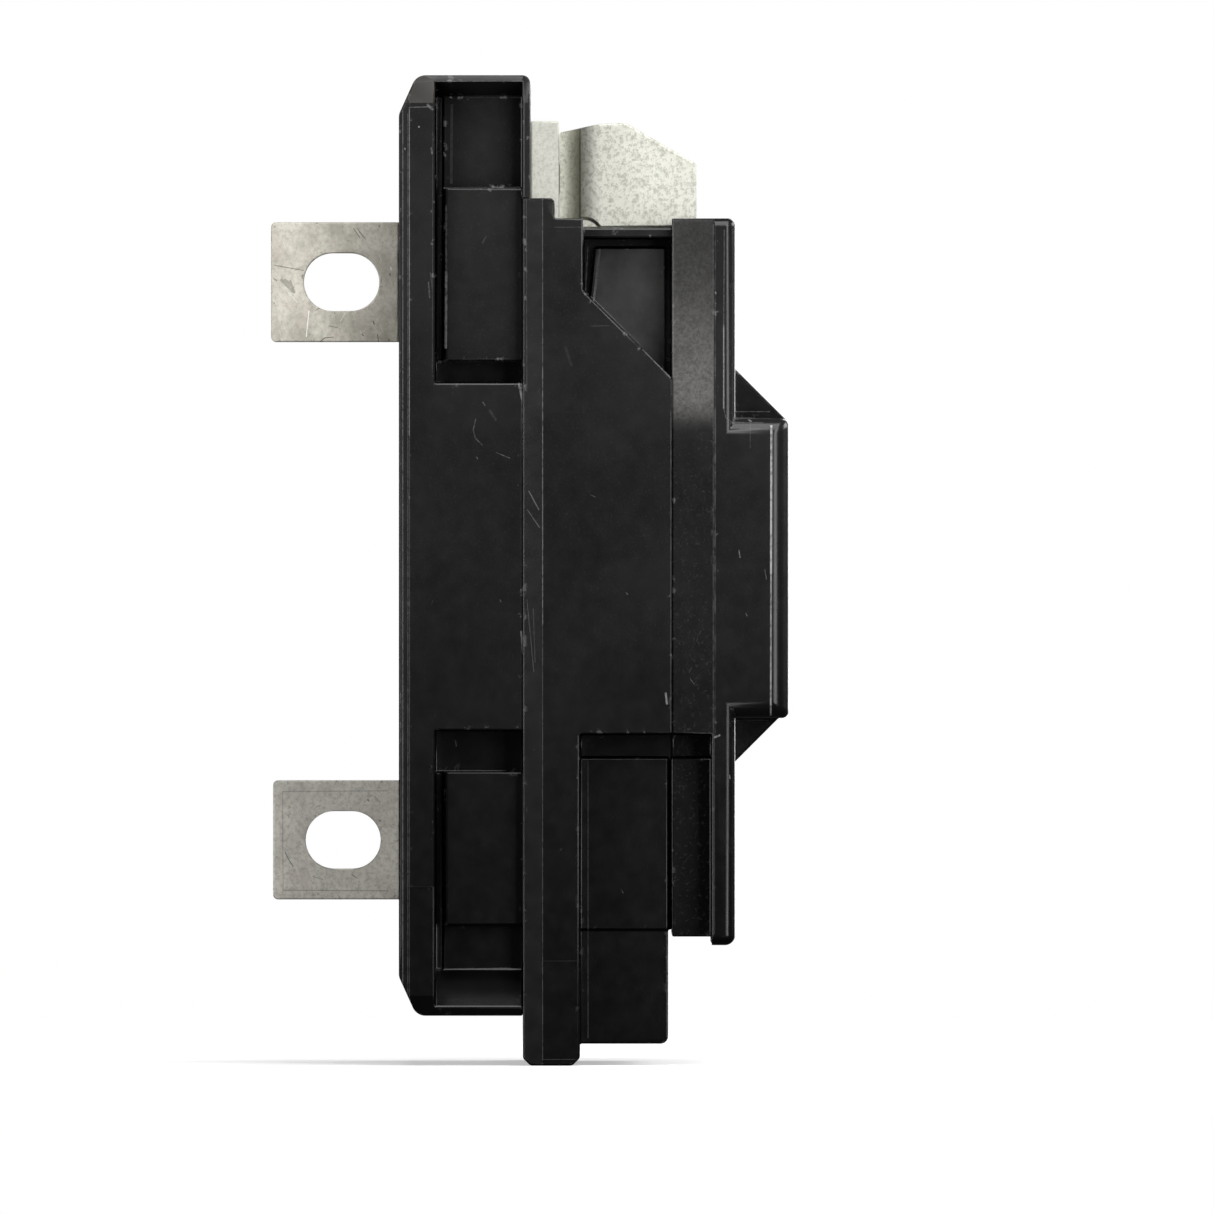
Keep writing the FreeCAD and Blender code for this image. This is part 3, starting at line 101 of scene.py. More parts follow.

# Worn lines, scratches, chips and painted highlights on rounded edges on the left side: points
# as (depth from the rear face, height) in millimetres, then width in millimetres and strength
BASE_WEAR_AND_HIGHLIGHTS = [
    ([(0.63, 71.5), (0.63, -70.0)], 0.11, 0.30), ([(1.43, 71.0), (1.43, -69.0)], 0.10, 0.16),
    ([(1.66, 72.0), (1.66, 20.0)], 0.13, 0.40), ([(1.66, 20.0), (1.66, -70.0)], 0.11, 0.12),
    ([(1.70, 72.0), (5.3, 72.1)], 0.16, 0.24), ([(4.5, 72.5), (5.4, 71.6)], 0.42, 0.30),
    # the 7.5 mm lines are a painted highlight on the plateau's rounded edge
    ([(5.4, 68.0), (5.3, 30.0)], 0.10, 0.10), ([(7.5, 56.5), (7.5, 44.0)], 0.40, 0.12),
    ([(7.5, 46.0), (7.45, 33.8)], 0.46, 0.32), ([(8.4, 72.5), (8.3, 60.0)], 0.5, 0.05),
    ([(3.17, 69.0), (3.2, 68.8)], 0.28, 0.5), ([(0.95, 65.6), (1.0, 65.3)], 0.2, 0.4),
    ([(5.1, 65.6), (5.3, 64.6)], 0.3, 0.24), ([(8.1, 73.7), (8.4, 73.6)], 0.25, 0.6),
    ([(4.7, 44.3), (4.9, 41.8)], 0.26, 0.14), ([(5.0, 45.8), (5.3, 43.4)], 0.18, 0.10),
    ([(19.0, 28.4), (19.6, 25.4)], 0.36, 0.34), ([(19.6, 29.0), (19.8, 14.0)], 0.50, 0.17),
    ([(19.8, 15.0), (19.75, 5.0)], 0.36, 0.10), ([(19.75, 6.0), (19.7, -27.0)], 0.16, 0.08),
    ([(19.4, -11.0), (19.7, -14.6)], 0.34, 0.22),
    ([(12.2, 22.6), (11.8, 20.9), (12.1, 19.6), (13.2, 18.5)], 0.16, 0.17),
    ([(15.4, 17.3), (17.6, 16.4)], 0.15, 0.20), ([(13.3, 25.3), (13.7, 24.7)], 0.22, 0.14),
    ([(14.4, 24.0), (15.4, 22.4)], 0.5, 0.05), ([(12.3, 16.6), (12.5, 16.3)], 0.2, 0.3),
    ([(8.9, -28.4), (9.1, -29.3)], 0.2, 0.3), ([(16.0, -6.0), (16.2, -6.4)], 0.2, 0.12),
]
CASE_WEAR_AND_HIGHLIGHTS = [
    ([(22.8, 57.4), (22.8, 30.0)], 0.16, 0.16), ([(22.8, 31.0), (22.8, -10.0)], 0.18, 0.26),
    ([(22.8, -10.0), (22.8, -79.0)], 0.14, 0.12), ([(24.7, 53.0), (29.3, 53.0)], 0.12, 0.12),
    ([(22.8, -63.3), (28.4, -63.3)], 0.10, 0.05), ([(22.8, -78.9), (28.4, -78.9)], 0.10, 0.10),
    # the line from (31.9, 49.7) is a painted highlight on the window panel's slanted edge
    ([(30.0, -31.4), (30.0, -75.6)], 0.26, 0.07), ([(31.9, 49.7), (30.9, 41.3)], 0.40, 0.30),
    ([(30.0, 50.5), (29.6, 43.0)], 0.20, 0.22), ([(38.7, 33.6), (43.1, 29.1)], 0.26, 0.30),
    ([(30.4, 37.3), (33.4, 37.4)], 0.22, 0.05), ([(42.3, -20.8), (42.5, -22.6)], 0.36, 0.4),
    ([(20.6, 11.2), (22.2, 8.2)], 0.20, 0.20), ([(20.4, 8.2), (22.3, 5.4)], 0.18, 0.16),
    ([(20.3, -6.0), (21.4, -17.5)], 0.14, 0.10), ([(21.3, -7.5), (21.6, -16.0)], 0.22, 0.06),
    ([(20.2, 60.0), (20.3, 28.0)], 0.12, 0.10), ([(30.4, 10.6), (31.2, 10.2)], 0.10, 0.2),
    ([(43.1, 24.0), (43.1, -27.0)], 0.12, 0.12), ([(36.0, -4.9), (36.3, -5.2)], 0.16, 0.2),
    ([(35.3, -52.0), (35.6, -52.6)], 0.14, 0.16), ([(26.4, 34.0), (27.4, 31.0)], 0.5, 0.03),
]
COVER_WEAR_AND_HIGHLIGHTS = [
    # the lines at 49.9, 51.5 and 59.05 mm are painted highlights on rounded edges of the cover
    # and the boss
    ([(49.9, 53.4), (49.9, 24.0)], 0.34, 0.12), ([(49.9, 25.0), (49.9, -27.0)], 0.30, 0.12),
    ([(50.0, -27.0), (50.0, -59.0)], 0.26, 0.07), ([(51.5, 37.5), (51.5, 24.2)], 0.24, 0.50),
    ([(51.5, 24.4), (51.8, 22.9), (52.7, 22.1), (57.8, 22.0)], 0.16, 0.16),
    ([(51.6, 52.6), (51.5, 37.5)], 0.20, 0.14), ([(53.3, 29.6), (53.3, 24.3)], 0.18, 0.34),
    ([(53.5, 23.9), (58.9, 23.9)], 0.14, 0.24), ([(59.05, 21.6), (59.0, -2.0)], 0.38, 0.95),
    ([(59.0, -2.0), (58.95, -24.4)], 0.30, 0.60), ([(55.4, 22.5), (55.9, 22.2)], 0.26, 0.34),
    ([(55.7, 22.2), (55.7, 18.0)], 0.13, 0.10), ([(50.0, -27.9), (50.9, -27.5)], 0.34, 0.55),
    ([(53.9, 1.8), (54.1, 0.6)], 0.2, 0.3), ([(52.4, -33.8), (52.5, -34.4)], 0.18, 0.4),
    ([(52.8, -25.3), (58.7, -25.2)], 0.12, 0.14), ([(58.0, -1.2), (58.3, -2.8)], 0.16, 0.16),
    ([(46.2, -18.6), (46.8, -19.4)], 0.12, 0.2), ([(55.0, -8.2), (55.2, -8.6)], 0.16, 0.2),
]
TAB_DARK = [
    ([(-19.7, 47.1), (-15.2, 46.3)], 0.13, 0.8), ([(-18.9, 44.9), (-16.9, 42.9)], 0.50, 0.45),
    ([(-17.4, 44.7), (-16.7, 42.7)], 0.45, 0.5),
    ([(-18.3, 44.9), (-16.8, 43.5)], 0.50, 0.45), ([(-20.0, 45.0), (-19.5, 44.7)], 0.20, 0.6),
    ([(-7.3, 53.0), (-6.3, 51.5)], 0.12, 0.8), ([(-12.6, 35.0), (-11.8, 35.6)], 0.16, 0.9),
    ([(-11.8, 35.6), (-10.5, 35.7)], 0.14, 0.9), ([(-1.5, 45.8), (-1.5, 45.5)], 0.24, 0.9),
    ([(-4.2, 38.3), (-4.0, 37.7)], 0.2, 0.9), ([(-6.0, 36.2), (-5.7, 35.9)], 0.2, 0.8),
    ([(-3.5, 36.2), (-3.3, 34.9)], 0.16, 0.8), ([(-20.5, 52.6), (-20.4, 51.0)], 0.3, 0.6),
    ([(-11.2, 37.5), (-9.8, 37.2)], 0.22, 0.5), ([(-18.9, -36.7), (-2.0, -36.6)], 0.14, 0.42),
    ([(-18.9, -36.7), (-18.8, -52.4)], 0.13, 0.38), ([(-18.8, -52.5), (-2.0, -52.6)], 0.16, 0.5),
    ([(-5.3, -38.0), (-5.1, -38.2)], 0.3, 0.8), ([(-3.4, -41.3), (-3.2, -41.5)], 0.26, 0.8),
    ([(-18.5, -46.4), (-17.9, -47.6), (-17.2, -48.7)], 0.16, 0.7),
    ([(-7.8, -50.0), (-6.9, -50.6)], 0.16, 0.6), ([(-14.0, -50.3), (-12.4, -50.8)], 0.12, 0.5),
]
TAB_BRIGHT = [
    ([(-14.4, 39.9), (-14.8, 35.8)], 0.16, 1.0), ([(-17.8, 43.0), (-16.2, 41.2)], 0.14, 0.7),
    ([(-8.6, 39.6), (-9.4, 38.2)], 0.14, 0.6), ([(-1.4, 46.9), (-1.3, 46.4)], 0.22, 0.8),
    ([(-16.6, -38.6), (-15.2, -40.4)], 0.13, 0.6), ([(-4.9, -48.2), (-3.7, -49.0)], 0.14, 0.6),
]


class Shader:
    """One material's node tree, with short calls for the nodes used here."""

    def __init__(self, name):
        self.material = bpy.data.materials.new(name)
        self.material.use_nodes = True
        self.tree = self.material.node_tree
        self.surface = self.tree.nodes["Principled BSDF"]
        self.place = self.make("TexCoord").outputs["Object"]

    def make(self, kind, inputs=None, **settings):
        node = self.tree.nodes.new("ShaderNode" + kind)
        for name, value in settings.items():
            setattr(node, name, value)
        for key, value in (inputs or {}).items():
            self.feed(node.inputs[key], value)
        return node

    def feed(self, socket, value):
        if isinstance(value, bpy.types.NodeSocket):
            self.tree.links.new(value, socket)
        else:
            socket.default_value = value

    def set(self, **inputs):
        for name, value in inputs.items():
            self.feed(self.surface.inputs[name.replace("_", " ")], value)

    def maths(self, operation, a, b=0.0):
        return self.make("Math", {0: a, 1: b}, operation=operation).outputs[0]

    def times(self, a, b):
        return self.maths("MULTIPLY", a, b)

    def plus(self, a, b):
        return self.maths("ADD", a, b)

    def measure(self, operation, a, b=(0, 0, 0)):
        """The single value that a vector operation gives."""
        return self.make("VectorMath", {0: a, 1: b}, operation=operation).outputs["Value"]

    def ramp(self, value, low, high, bottom=0.0, top=1.0):
        """Smooth step of value from bottom at low to top at high."""
        node = self.make("MapRange", {"Value": value, "From Min": low, "From Max": high,
                                      "To Min": bottom, "To Max": top},
                         interpolation_type="SMOOTHSTEP")
        return node.outputs["Result"]

    def mix(self, factor, a, b):
        node = self.make("Mix", {0: factor, 6: a, 7: b}, data_type="RGBA")
        return node.outputs[2]

    def noise(self, scale, detail=2.0, roughness=0.5, place=None):
        node = self.make("TexNoise", {"Vector": place or self.place, "Scale": scale,
                                      "Detail": detail, "Roughness": roughness})
        return node.outputs["Fac"]

    def stretched(self, scale, turn):
        """The object's coordinates, turned and then scaled unevenly."""
        node = self.make("Mapping", {"Vector": self.place, "Rotation": turn, "Scale": scale},
                         vector_type="TEXTURE")
        node.inputs["Scale"].default_value = [1 / value for value in scale]
        return node.outputs["Vector"]

    def axis(self, name):
        return self.make("SeparateXYZ", {0: self.place}).outputs[name]

    def band(self, value, low, high, soft):
        """1 between low and high, falling to 0 over soft on each side."""
        rise = self.ramp(value, low - soft, low)
        fall = self.ramp(value, high, high + soft, 1.0, 0.0)
        return self.times(rise, fall)

    def edges(self, radius, low=0.01, high=0.2):
        """1 on edges and corners sharper than radius, 0 on flat faces."""
        rounded = self.make("Bevel", {"Radius": radius}, samples=6).outputs["Normal"]
        flat = self.make("NewGeometry").outputs["Normal"]
        same = self.measure("DOT_PRODUCT", rounded, flat)
        return self.ramp(self.maths("SUBTRACT", 1.0, same), low, high)

    def exposed(self, reach, low, high):
        """1 on open faces, 0 deep in slots and corners."""
        node = self.make("AmbientOcclusion", {"Distance": reach}, samples=6, only_local=True)
        return self.ramp(node.outputs["AO"], low, high)

    def streaks(self, scale, turn, low, high):
        """Sparse thin lines: stretched noise above a threshold."""
        return self.ramp(self.noise(1.0, 3.0, 0.6, self.stretched(scale, turn)), low, high)

    def marks(self, lines):
        """Strength of the strongest of several (points, width, strength) lines, drawn
        through (depth, height) points on surfaces that face sideways."""
        strongest = 0.0
        for points, width, strength in lines:
            places = [Vector((0, -depth * MM, height * MM)) for depth, height in points]
            for start, end in zip(places, places[1:]):
                run = (end - start).normalized()
                normal = Vector((0, -run.z, run.y))
                half = (end - start).length / 2
                along = self.measure("DOT_PRODUCT", self.place, tuple(run))
                across = self.measure("DOT_PRODUCT", self.place, tuple(normal))
                along = self.within(along, start.dot(run) + half, half + 0.03 * MM)
                across = self.within(across, start.dot(normal), 0.42 * width * MM)
                here = self.times(self.times(along, across), strength)
                strongest = self.maths("MAXIMUM", strongest, here)
        facing = self.make("SeparateXYZ", {0: self.make("NewGeometry").outputs["Normal"]})
        sideways = self.maths("ABSOLUTE", facing.outputs["X"])
        return self.times(strongest, self.ramp(sideways, 0.2, 0.35))

    def within(self, value, centre, reach):
        """1 where value is no further than reach from centre, otherwise 0."""
        return self.make("Math", {0: value, 1: centre, 2: reach},
                         operation="COMPARE").outputs[0]

    def bump(self, height, distance, strength, normal=None):
        inputs = {"Height": height, "Distance": distance, "Strength": strength}
        if normal is not None:
            inputs["Normal"] = normal
        return self.make("Bump", inputs).outputs["Normal"]


def grey(value, warm=0.0):
    return (value * (1 + warm), value, value * (1 - warm), 1.0)


def black_moulding(name, marks=(), extra_tone=None):
    """Glass-filled black moulding: semi-gloss, with a dust film and pale worn edges, painted
    shade towards the bottom and in slots and corners, and painted highlights from the marks.
    """
    s = Shader(name)
    # Painted shade: darker towards the bottom (height share) and near black deep in slots and
    # corners (exposure share)
    height = s.ramp(s.axis("Z"), *SHADE_HEIGHTS)
    clouds = s.ramp(s.plus(s.times(s.noise(60, 4.0, 0.6), 0.5),
                           s.times(s.noise(22, 2.0, 0.5), 0.5)), 0.35, 0.65)
    fibre = s.ramp(s.noise(2300, 4.0, 0.7), 0.55, 0.70)
    film = s.mix(clouds, grey(0.0100), grey(0.0200, 0.02))
    film = s.mix(s.times(fibre, 0.35), film, grey(0.040, 0.02))
    # painted shade: where the exposure and height shares are low, the moulding is painted near
    # black
    colour = s.mix(s.times(s.exposed(8 * MM, 0.35, 0.95), height), grey(0.0010), film)
    broken = s.ramp(s.noise(310, 5.0, 0.7), 0.42, 0.62)
    wear_and_highlights = s.times(s.edges(0.42 * MM), s.plus(s.times(broken, 0.8), 0.2))
    chips = s.ramp(s.noise(520, 3.0, 0.6), 0.60, 0.66)
    chips = s.times(s.edges(1.1 * MM, 0.004, 0.05), s.times(chips, 0.35))
    # edge wear and chips are painted fainter towards the bottom, following the painted shade
    wear_and_highlights = s.times(s.maths("MAXIMUM", s.times(wear_and_highlights, 0.30), chips), s.plus(height, 0.2))
    hair = s.times(s.streaks((60, 900, 260), (0.5, 0.3, 0.4), 0.70, 0.75),
                   s.ramp(s.noise(45, 2.0), 0.45, 0.62))
    wear_and_highlights = s.maths("MAXIMUM", wear_and_highlights, s.times(hair, 0.06))
    # the marks add worn lines, scratches, chips and painted highlights
    if marks:
        ragged = s.ramp(s.noise(1300, 4.0, 0.7), 0.36, 0.56, 0.35, 1.0)
        left = s.ramp(s.axis("X"), -12 * MM, -10 * MM, 1.0, 0.0)
        wear_and_highlights = s.maths("MAXIMUM", wear_and_highlights, s.times(s.marks(marks), s.times(ragged, left)))
    # pale colour for worn edges, scratches and painted highlights
    colour = s.mix(wear_and_highlights, colour, grey(0.46, 0.01))
    if extra_tone:
        colour = extra_tone(s, colour)
    rough = s.plus(s.times(s.noise(420, 3.0), 0.12), 0.17)
    rough = s.plus(rough, s.times(wear_and_highlights, 0.3))
    normal = s.bump(s.noise(4200, 3.0, 0.6), 0.010 * MM, 0.45)
    normal = s.bump(s.noise(150, 2.0), 0.04 * MM, 0.3, normal)
    normal = s.bump(s.maths("SUBTRACT", 1.0, wear_and_highlights), 0.03 * MM, 0.4, normal)
    s.set(Base_Color=colour, Roughness=rough, Normal=normal, Specular_IOR_Level=0.4)
    return s.material


def cover_pale_patch(s, colour):
    """A pale grainy patch, with sparse pale specks, on the set-back side bands of the cover;
    strongest just above the boss and fading upwards.
    """
    low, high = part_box("front_cover")
    depth = s.axis("Y")
    height = s.axis("Z")
    band = s.band(depth, high.y - 6.5 * MM, high.y, 0.3 * MM)
    wave = s.times(s.noise(110, 3.0, 0.6), 5 * MM)
    patch = s.ramp(s.plus(height, wave), high.z - 31.5 * MM, high.z - 26 * MM)
    fade = s.ramp(height, high.z - 27 * MM, high.z - 6 * MM, 1.0, 0.26)
    grains = s.ramp(s.noise(1900, 4.0, 0.75), 0.30, 0.70, 0.45, 1.0)
    drift = s.ramp(s.noise(95, 3.0, 0.55), 0.30, 0.65, 0.65, 1.0)
    specks = s.times(s.ramp(s.noise(1500, 4.0, 0.75), 0.56, 0.66), 0.10)
    pale_film = s.times(s.times(patch, fade), s.times(grains, drift))
    pale_film = s.times(band, s.maths("MAXIMUM", pale_film, specks))
    return s.mix(pale_film, colour, grey(0.175, 0.03))


def end_bevel_lighter(s, colour):
    """Lighter olive tone on the slanted upper rear corners of the base's sides."""
    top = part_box("rear_base")[1].z
    up = s.ramp(s.axis("Z"), top - 4.45 * MM, top - 4.3 * MM)
    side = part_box("rear_base")[1].x - 1.4 * MM
    up = s.times(up, s.ramp(s.maths("ABSOLUTE", s.axis("X")), side - 0.2 * MM, side))
    up = s.times(up, s.ramp(s.axis("Y"), -6.2 * MM, -5.6 * MM))
    return s.mix(s.times(up, 0.7), colour, grey(0.040, 0.12))


def window_patch_and_shadow(s, colour):
    """A paler cloudy patch on the panel behind each lug window, and a painted shadow: a
    near-black band above the panel, under the lip.
    """
    low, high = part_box("line_lug_left")
    across = s.band(s.axis("Y"), low.y + 1.5 * MM, high.y - 6 * MM, 0.8 * MM)
    up = s.ramp(s.axis("Z"), low.z - 26 * MM, low.z - 18 * MM)
    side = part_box("middle_case")[1].x - 0.8 * MM
    inside = s.ramp(s.maths("ABSOLUTE", s.axis("X")), side - 0.3 * MM, side, 1.0, 0.0)
    clouds = s.ramp(s.noise(240, 4.0, 0.65), 0.25, 0.75, 0.6, 1.0)
    below = s.ramp(s.axis("Z"), WINDOW_PATCH_TOP, WINDOW_PATCH_TOP + 0.3 * MM, 1.0, 0.0)
    pale_film = s.times(s.times(across, up), s.times(inside, clouds))
    colour = s.mix(s.times(pale_film, below), colour, grey(0.062, 0.02))
    # painted shadow: near-black band under the lip
    lip_shadow = s.times(s.band(s.axis("Z"), *WINDOW_LIP_SHADOW, 0.1 * MM), inside)
    return s.mix(lip_shadow, colour, grey(0.0005))


def bus_metal(name):
    """Tin-plated bus strap: warm grey, mottled, scratched and pitted, and painted paler low down
    as painted light.
    """
    s = Shader(name)
    clouds = s.ramp(s.noise(170, 5.0, 0.7), 0.32, 0.68)
    fine = s.ramp(s.noise(1250, 5.0, 0.78), 0.42, 0.66)
    colour = s.mix(clouds, (0.46, 0.44, 0.37, 1), (0.73, 0.705, 0.62, 1))
    # painted light: the lower tab is painted paler, where the lights reach it less
    lower_tab_painted_light = s.ramp(s.axis("Z"), -20 * MM, 20 * MM, 0.62, 0.0)
    colour = s.mix(lower_tab_painted_light, colour, (0.98, 0.95, 0.86, 1))
    blush = s.ramp(s.noise(230, 3.0, 0.6), 0.52, 0.66)
    colour = s.mix(s.times(blush, 0.35), colour, (0.62, 0.52, 0.48, 1))
    colour = s.mix(s.times(fine, 0.42), colour, (0.30, 0.28, 0.23, 1))
    bright = s.streaks((2600, 160, 2600), (1.2, 0, 0), 0.66, 0.72)
    bright = s.maths("MAXIMUM", s.times(bright, 0.5), s.marks(TAB_BRIGHT))
    colour = s.mix(bright, colour, (0.93, 0.91, 0.86, 1))
    dark = s.maths("MAXIMUM", s.streaks((1600, 120, 1400), (0.9, 0, 0), 0.69, 0.72),
                   s.streaks((1600, 160, 1700), (-0.5, 0, 0), 0.71, 0.74))
    dark = s.maths("MAXIMUM", s.times(dark, 0.6), s.marks(TAB_DARK))
    colour = s.mix(dark, colour, (0.10, 0.092, 0.07, 1))
    pits = s.ramp(s.noise(820, 6.0, 0.75), 0.60, 0.66)
    pits = s.times(pits, s.plus(s.times(s.edges(1.6 * MM, 0.003, 0.05), 0.7), 0.3))
    colour = s.mix(pits, colour, (0.10, 0.09, 0.075, 1))
    edge = s.times(s.edges(0.45 * MM), s.ramp(s.noise(420, 3.0), 0.35, 0.55))
    colour = s.mix(s.times(edge, 0.8), colour, (0.10, 0.095, 0.075, 1))
    rough = s.plus(s.times(clouds, 0.20), 0.45)
    normal = s.bump(s.noise(1700, 4.0, 0.7), 0.04 * MM, 0.6)
    normal = s.bump(s.noise(330, 3.0, 0.6), 0.12 * MM, 0.5, normal)
    normal = s.bump(s.maths("SUBTRACT", 1.0, s.maths("MAXIMUM", pits, dark)),
                    0.06 * MM, 0.7, normal)
    s.set(Base_Color=colour, Metallic=0.3, Roughness=rough, Normal=normal)
    return s.material


def lug_metal(name, neck=False):
    """Tin-plated aluminium: pale and finely speckled; a lug's neck gets painted shade in dark
    olive, a painted dark crease line and painted shade on the rounded edge beyond.
    """
    s = Shader(name)
    speck = s.ramp(s.noise(1500, 5.0, 0.75), 0.44, 0.62)
    patch = s.noise(190, 4.0, 0.6)
    colour = s.mix(patch, (0.72, 0.72, 0.63, 1), (0.92, 0.92, 0.84, 1))
    colour = s.mix(s.times(speck, 0.62 if neck else 0.3), colour, (0.36, 0.36, 0.29, 1))
    if neck:
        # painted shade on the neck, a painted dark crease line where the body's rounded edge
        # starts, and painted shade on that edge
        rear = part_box("line_lug_left")[1].y
        depth = s.maths("SUBTRACT", rear, s.axis("Y"))
        shade = s.times(s.ramp(depth, 0.2 * MM, 3.2 * MM, 0.20, 0.70),
                        s.ramp(depth, 3.1 * MM, 3.3 * MM, 1.0, 0.0))
        colour = s.mix(shade, colour, (0.19, 0.185, 0.125, 1))
        rounded_edge_shade = s.band(depth, 3.3 * MM, 3.3 * MM, 3.0 * MM)
        colour = s.mix(s.times(rounded_edge_shade, 0.25), colour, (0.30, 0.29, 0.26, 1))
        crease_shade = s.band(depth, 3.15 * MM, 3.3 * MM, 0.1 * MM)
        colour = s.mix(s.times(crease_shade, 0.8), colour, (0.05, 0.05, 0.04, 1))
        shoulder = s.band(depth, 5.9 * MM, 7.0 * MM, 0.3 * MM)
    rub = s.times(s.edges(0.5 * MM, 0.04, 0.3), s.ramp(s.noise(500, 3.0), 0.4, 0.6))
    if neck:
        rub = s.times(rub, s.maths("SUBTRACT", 1.0, shoulder))
    colour = s.mix(s.times(rub, 0.45), colour, (0.24, 0.24, 0.18, 1))
    rough = s.plus(s.times(speck, 0.15), 0.50)
    normal = s.bump(s.noise(1500, 5.0, 0.75), 0.07 * MM, 0.7)
    s.set(Base_Color=colour, Metallic=0.25, Roughness=rough, Normal=normal)
    return s.material


def turned_metal(name, colour, roughness):
    """Small inner metal parts: brushed, with faint stains and rubbed edges."""
    s = Shader(name)
    brushed = s.streaks((2500, 300, 2500), (0.2, 0.1, 0), 0.45, 0.7)
    stain = s.noise(260, 4.0, 0.6)
    dark = tuple(value * 0.55 for value in colour) + (1.0,)
    light = tuple(min(1.0, value * 1.15) for value in colour) + (1.0,)
    tone = s.mix(stain, dark, light)
    tone = s.mix(s.times(s.edges(0.3 * MM), 0.4), tone, light)
    normal = s.bump(brushed, 0.01 * MM, 0.4)
    s.set(Base_Color=tone, Metallic=1.0, Normal=normal,
          Roughness=s.plus(s.times(brushed, 0.12), roughness))
    return s.material


def pressed_board(name, colour):
    """Fibre board or brown moulding: matt, flecked, slightly uneven."""
    s = Shader(name)
    flecks = s.ramp(s.noise(1300, 4.0, 0.7), 0.45, 0.7)
    dark = tuple(value * 0.6 for value in colour) + (1.0,)
    light = tuple(min(1.0, value * 1.25) for value in colour) + (1.0,)
    normal = s.bump(s.noise(1900, 3.0), 0.02 * MM, 0.5)
    s.set(Base_Color=s.mix(flecks, dark, light), Normal=normal,
          Roughness=s.plus(s.times(flecks, 0.1), 0.6))
    return s.material


def dress(piece, material):
    piece.data.materials.clear()
    piece.data.materials.append(material)


def faces_above(shape, ratio):
    """The faces whose area is more than ratio times their perimeter."""
    return {face for face in shape.faces
            if face.calc_area() > ratio * face.calc_perimeter()}


def softened(node, width, body):
    """A copy of a CAD node with real rounded edges, which stands for the node.

    Edges beside faces too narrow for the rounding stay sharp."""
    source = frame["nodes"][node]
    shape = bmesh.new()
    shape.from_mesh(source.data)
    bmesh.ops.remove_doubles(shape, verts=shape.verts, dist=SAME_POINT)
    bmesh.ops.dissolve_limit(shape, angle_limit=FLAT_ANGLE, verts=shape.verts,
                             edges=shape.edges)
    for face in shape.faces:
        face.smooth = True
    broad = faces_above(shape, BROAD)
    roomy = faces_above(shape, width)
    rounded = shape.edges.layers.float.new("bevel_weight_edge")
    for edge in shape.edges:
        if len(edge.link_faces) != 2:
            continue
        turn = edge.calc_face_angle()
        if broad.issuperset(edge.link_faces):
            edge.smooth = turn < CREASE_ANGLE
        if roomy.issuperset(edge.link_faces):
            edge[rounded] = float(turn > ROUND_ANGLE)
        elif turn > ROUND_ANGLE:
            edge.smooth = False
    bmesh.ops.triangulate(shape, faces=[face for face in shape.faces
                                        if len(face.verts) > MOST_CORNERS])
    mesh = bpy.data.meshes.new(node + "_sharp")
    shape.to_mesh(mesh)
    shape.free()
    rough = bpy.data.objects.new(node + "_sharp", mesh)
    bpy.context.scene.collection.objects.link(rough)
    bevel = rough.modifiers.new("edges", "BEVEL")
    bevel.width = width
    bevel.segments = 2
    bevel.limit_method = "WEIGHT"
    bevel.miter_outer = "MITER_ARC"
    bevel.use_clamp_overlap = False
    rough.modifiers.new("triangles", "TRIANGULATE").min_vertices = 5
    weighted = rough.modifiers.new("normals", "WEIGHTED_NORMAL")
    weighted.weight = 100
    weighted.keep_sharp = True
    graph = bpy.context.evaluated_depsgraph_get()
    done = bpy.data.meshes.new_from_object(rough.evaluated_get(graph))
    bpy.data.objects.remove(rough)
    piece = bpy.data.objects.new(node + "_finished", done)
    bpy.context.scene.collection.objects.link(piece)
    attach(piece, body)
    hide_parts(node)
    return piece


def make_mouldings():
    pieces = {
        "rear_base": black_moulding("base_black", BASE_WEAR_AND_HIGHLIGHTS, end_bevel_lighter),
        "middle_case": black_moulding("case_black", CASE_WEAR_AND_HIGHLIGHTS, window_patch_and_shadow),
        "front_cover": black_moulding("cover_black", COVER_WEAR_AND_HIGHLIGHTS, cover_pale_patch),
    }
    for node, material in pieces.items():
        dress(softened(node, MOULDING_EDGE, "breaker"), material)


def make_metalwork():
    bus = bus_metal("bus_tin")
    strap = lug_metal("strap_tin")
    lug = lug_metal("lug_tin", neck=True)
    for pole in POLES:
        dress(softened("load_strap_" + pole, BUS_EDGE, "breaker"), bus)
        dress(softened("line_strap_" + pole, STRAP_EDGE, "breaker"), strap)
        dress(softened("line_lug_" + pole, LUG_EDGE, "breaker"), lug)


def make_handle():
    dress(softened("handle", HANDLE_EDGE, "handle"),
          black_moulding("handle_black"))


def dress_inner_parts():
    """Materials for the CAD nodes that stay as they are."""
    finishes = {
        "inner_phenolic": pressed_board("inner_brown", (0.10, 0.035, 0.02)),
        "plated_steel": turned_metal("zinc_steel", (0.52, 0.51, 0.46), 0.34),
        "spring_steel": turned_metal("spring_wire", (0.30, 0.30, 0.31), 0.30),
        "copper": turned_metal("bare_copper", (0.72, 0.36, 0.22), 0.33),
        "silver": turned_metal("silver_tip", (0.78, 0.77, 0.74), 0.28),
        "fibre": pressed_board("red_fibre", (0.42, 0.14, 0.08)),
    }
    for entry in frame["record"]["subparts"]:
        finish = finishes.get(entry["material_slot"])
        if finish:
            dress(frame["nodes"][entry["node"]], finish)
    dress(frame["nodes"]["lug_set_screw_left"], finishes["plated_steel"])
    dress(frame["nodes"]["lug_set_screw_right"], finishes["plated_steel"])


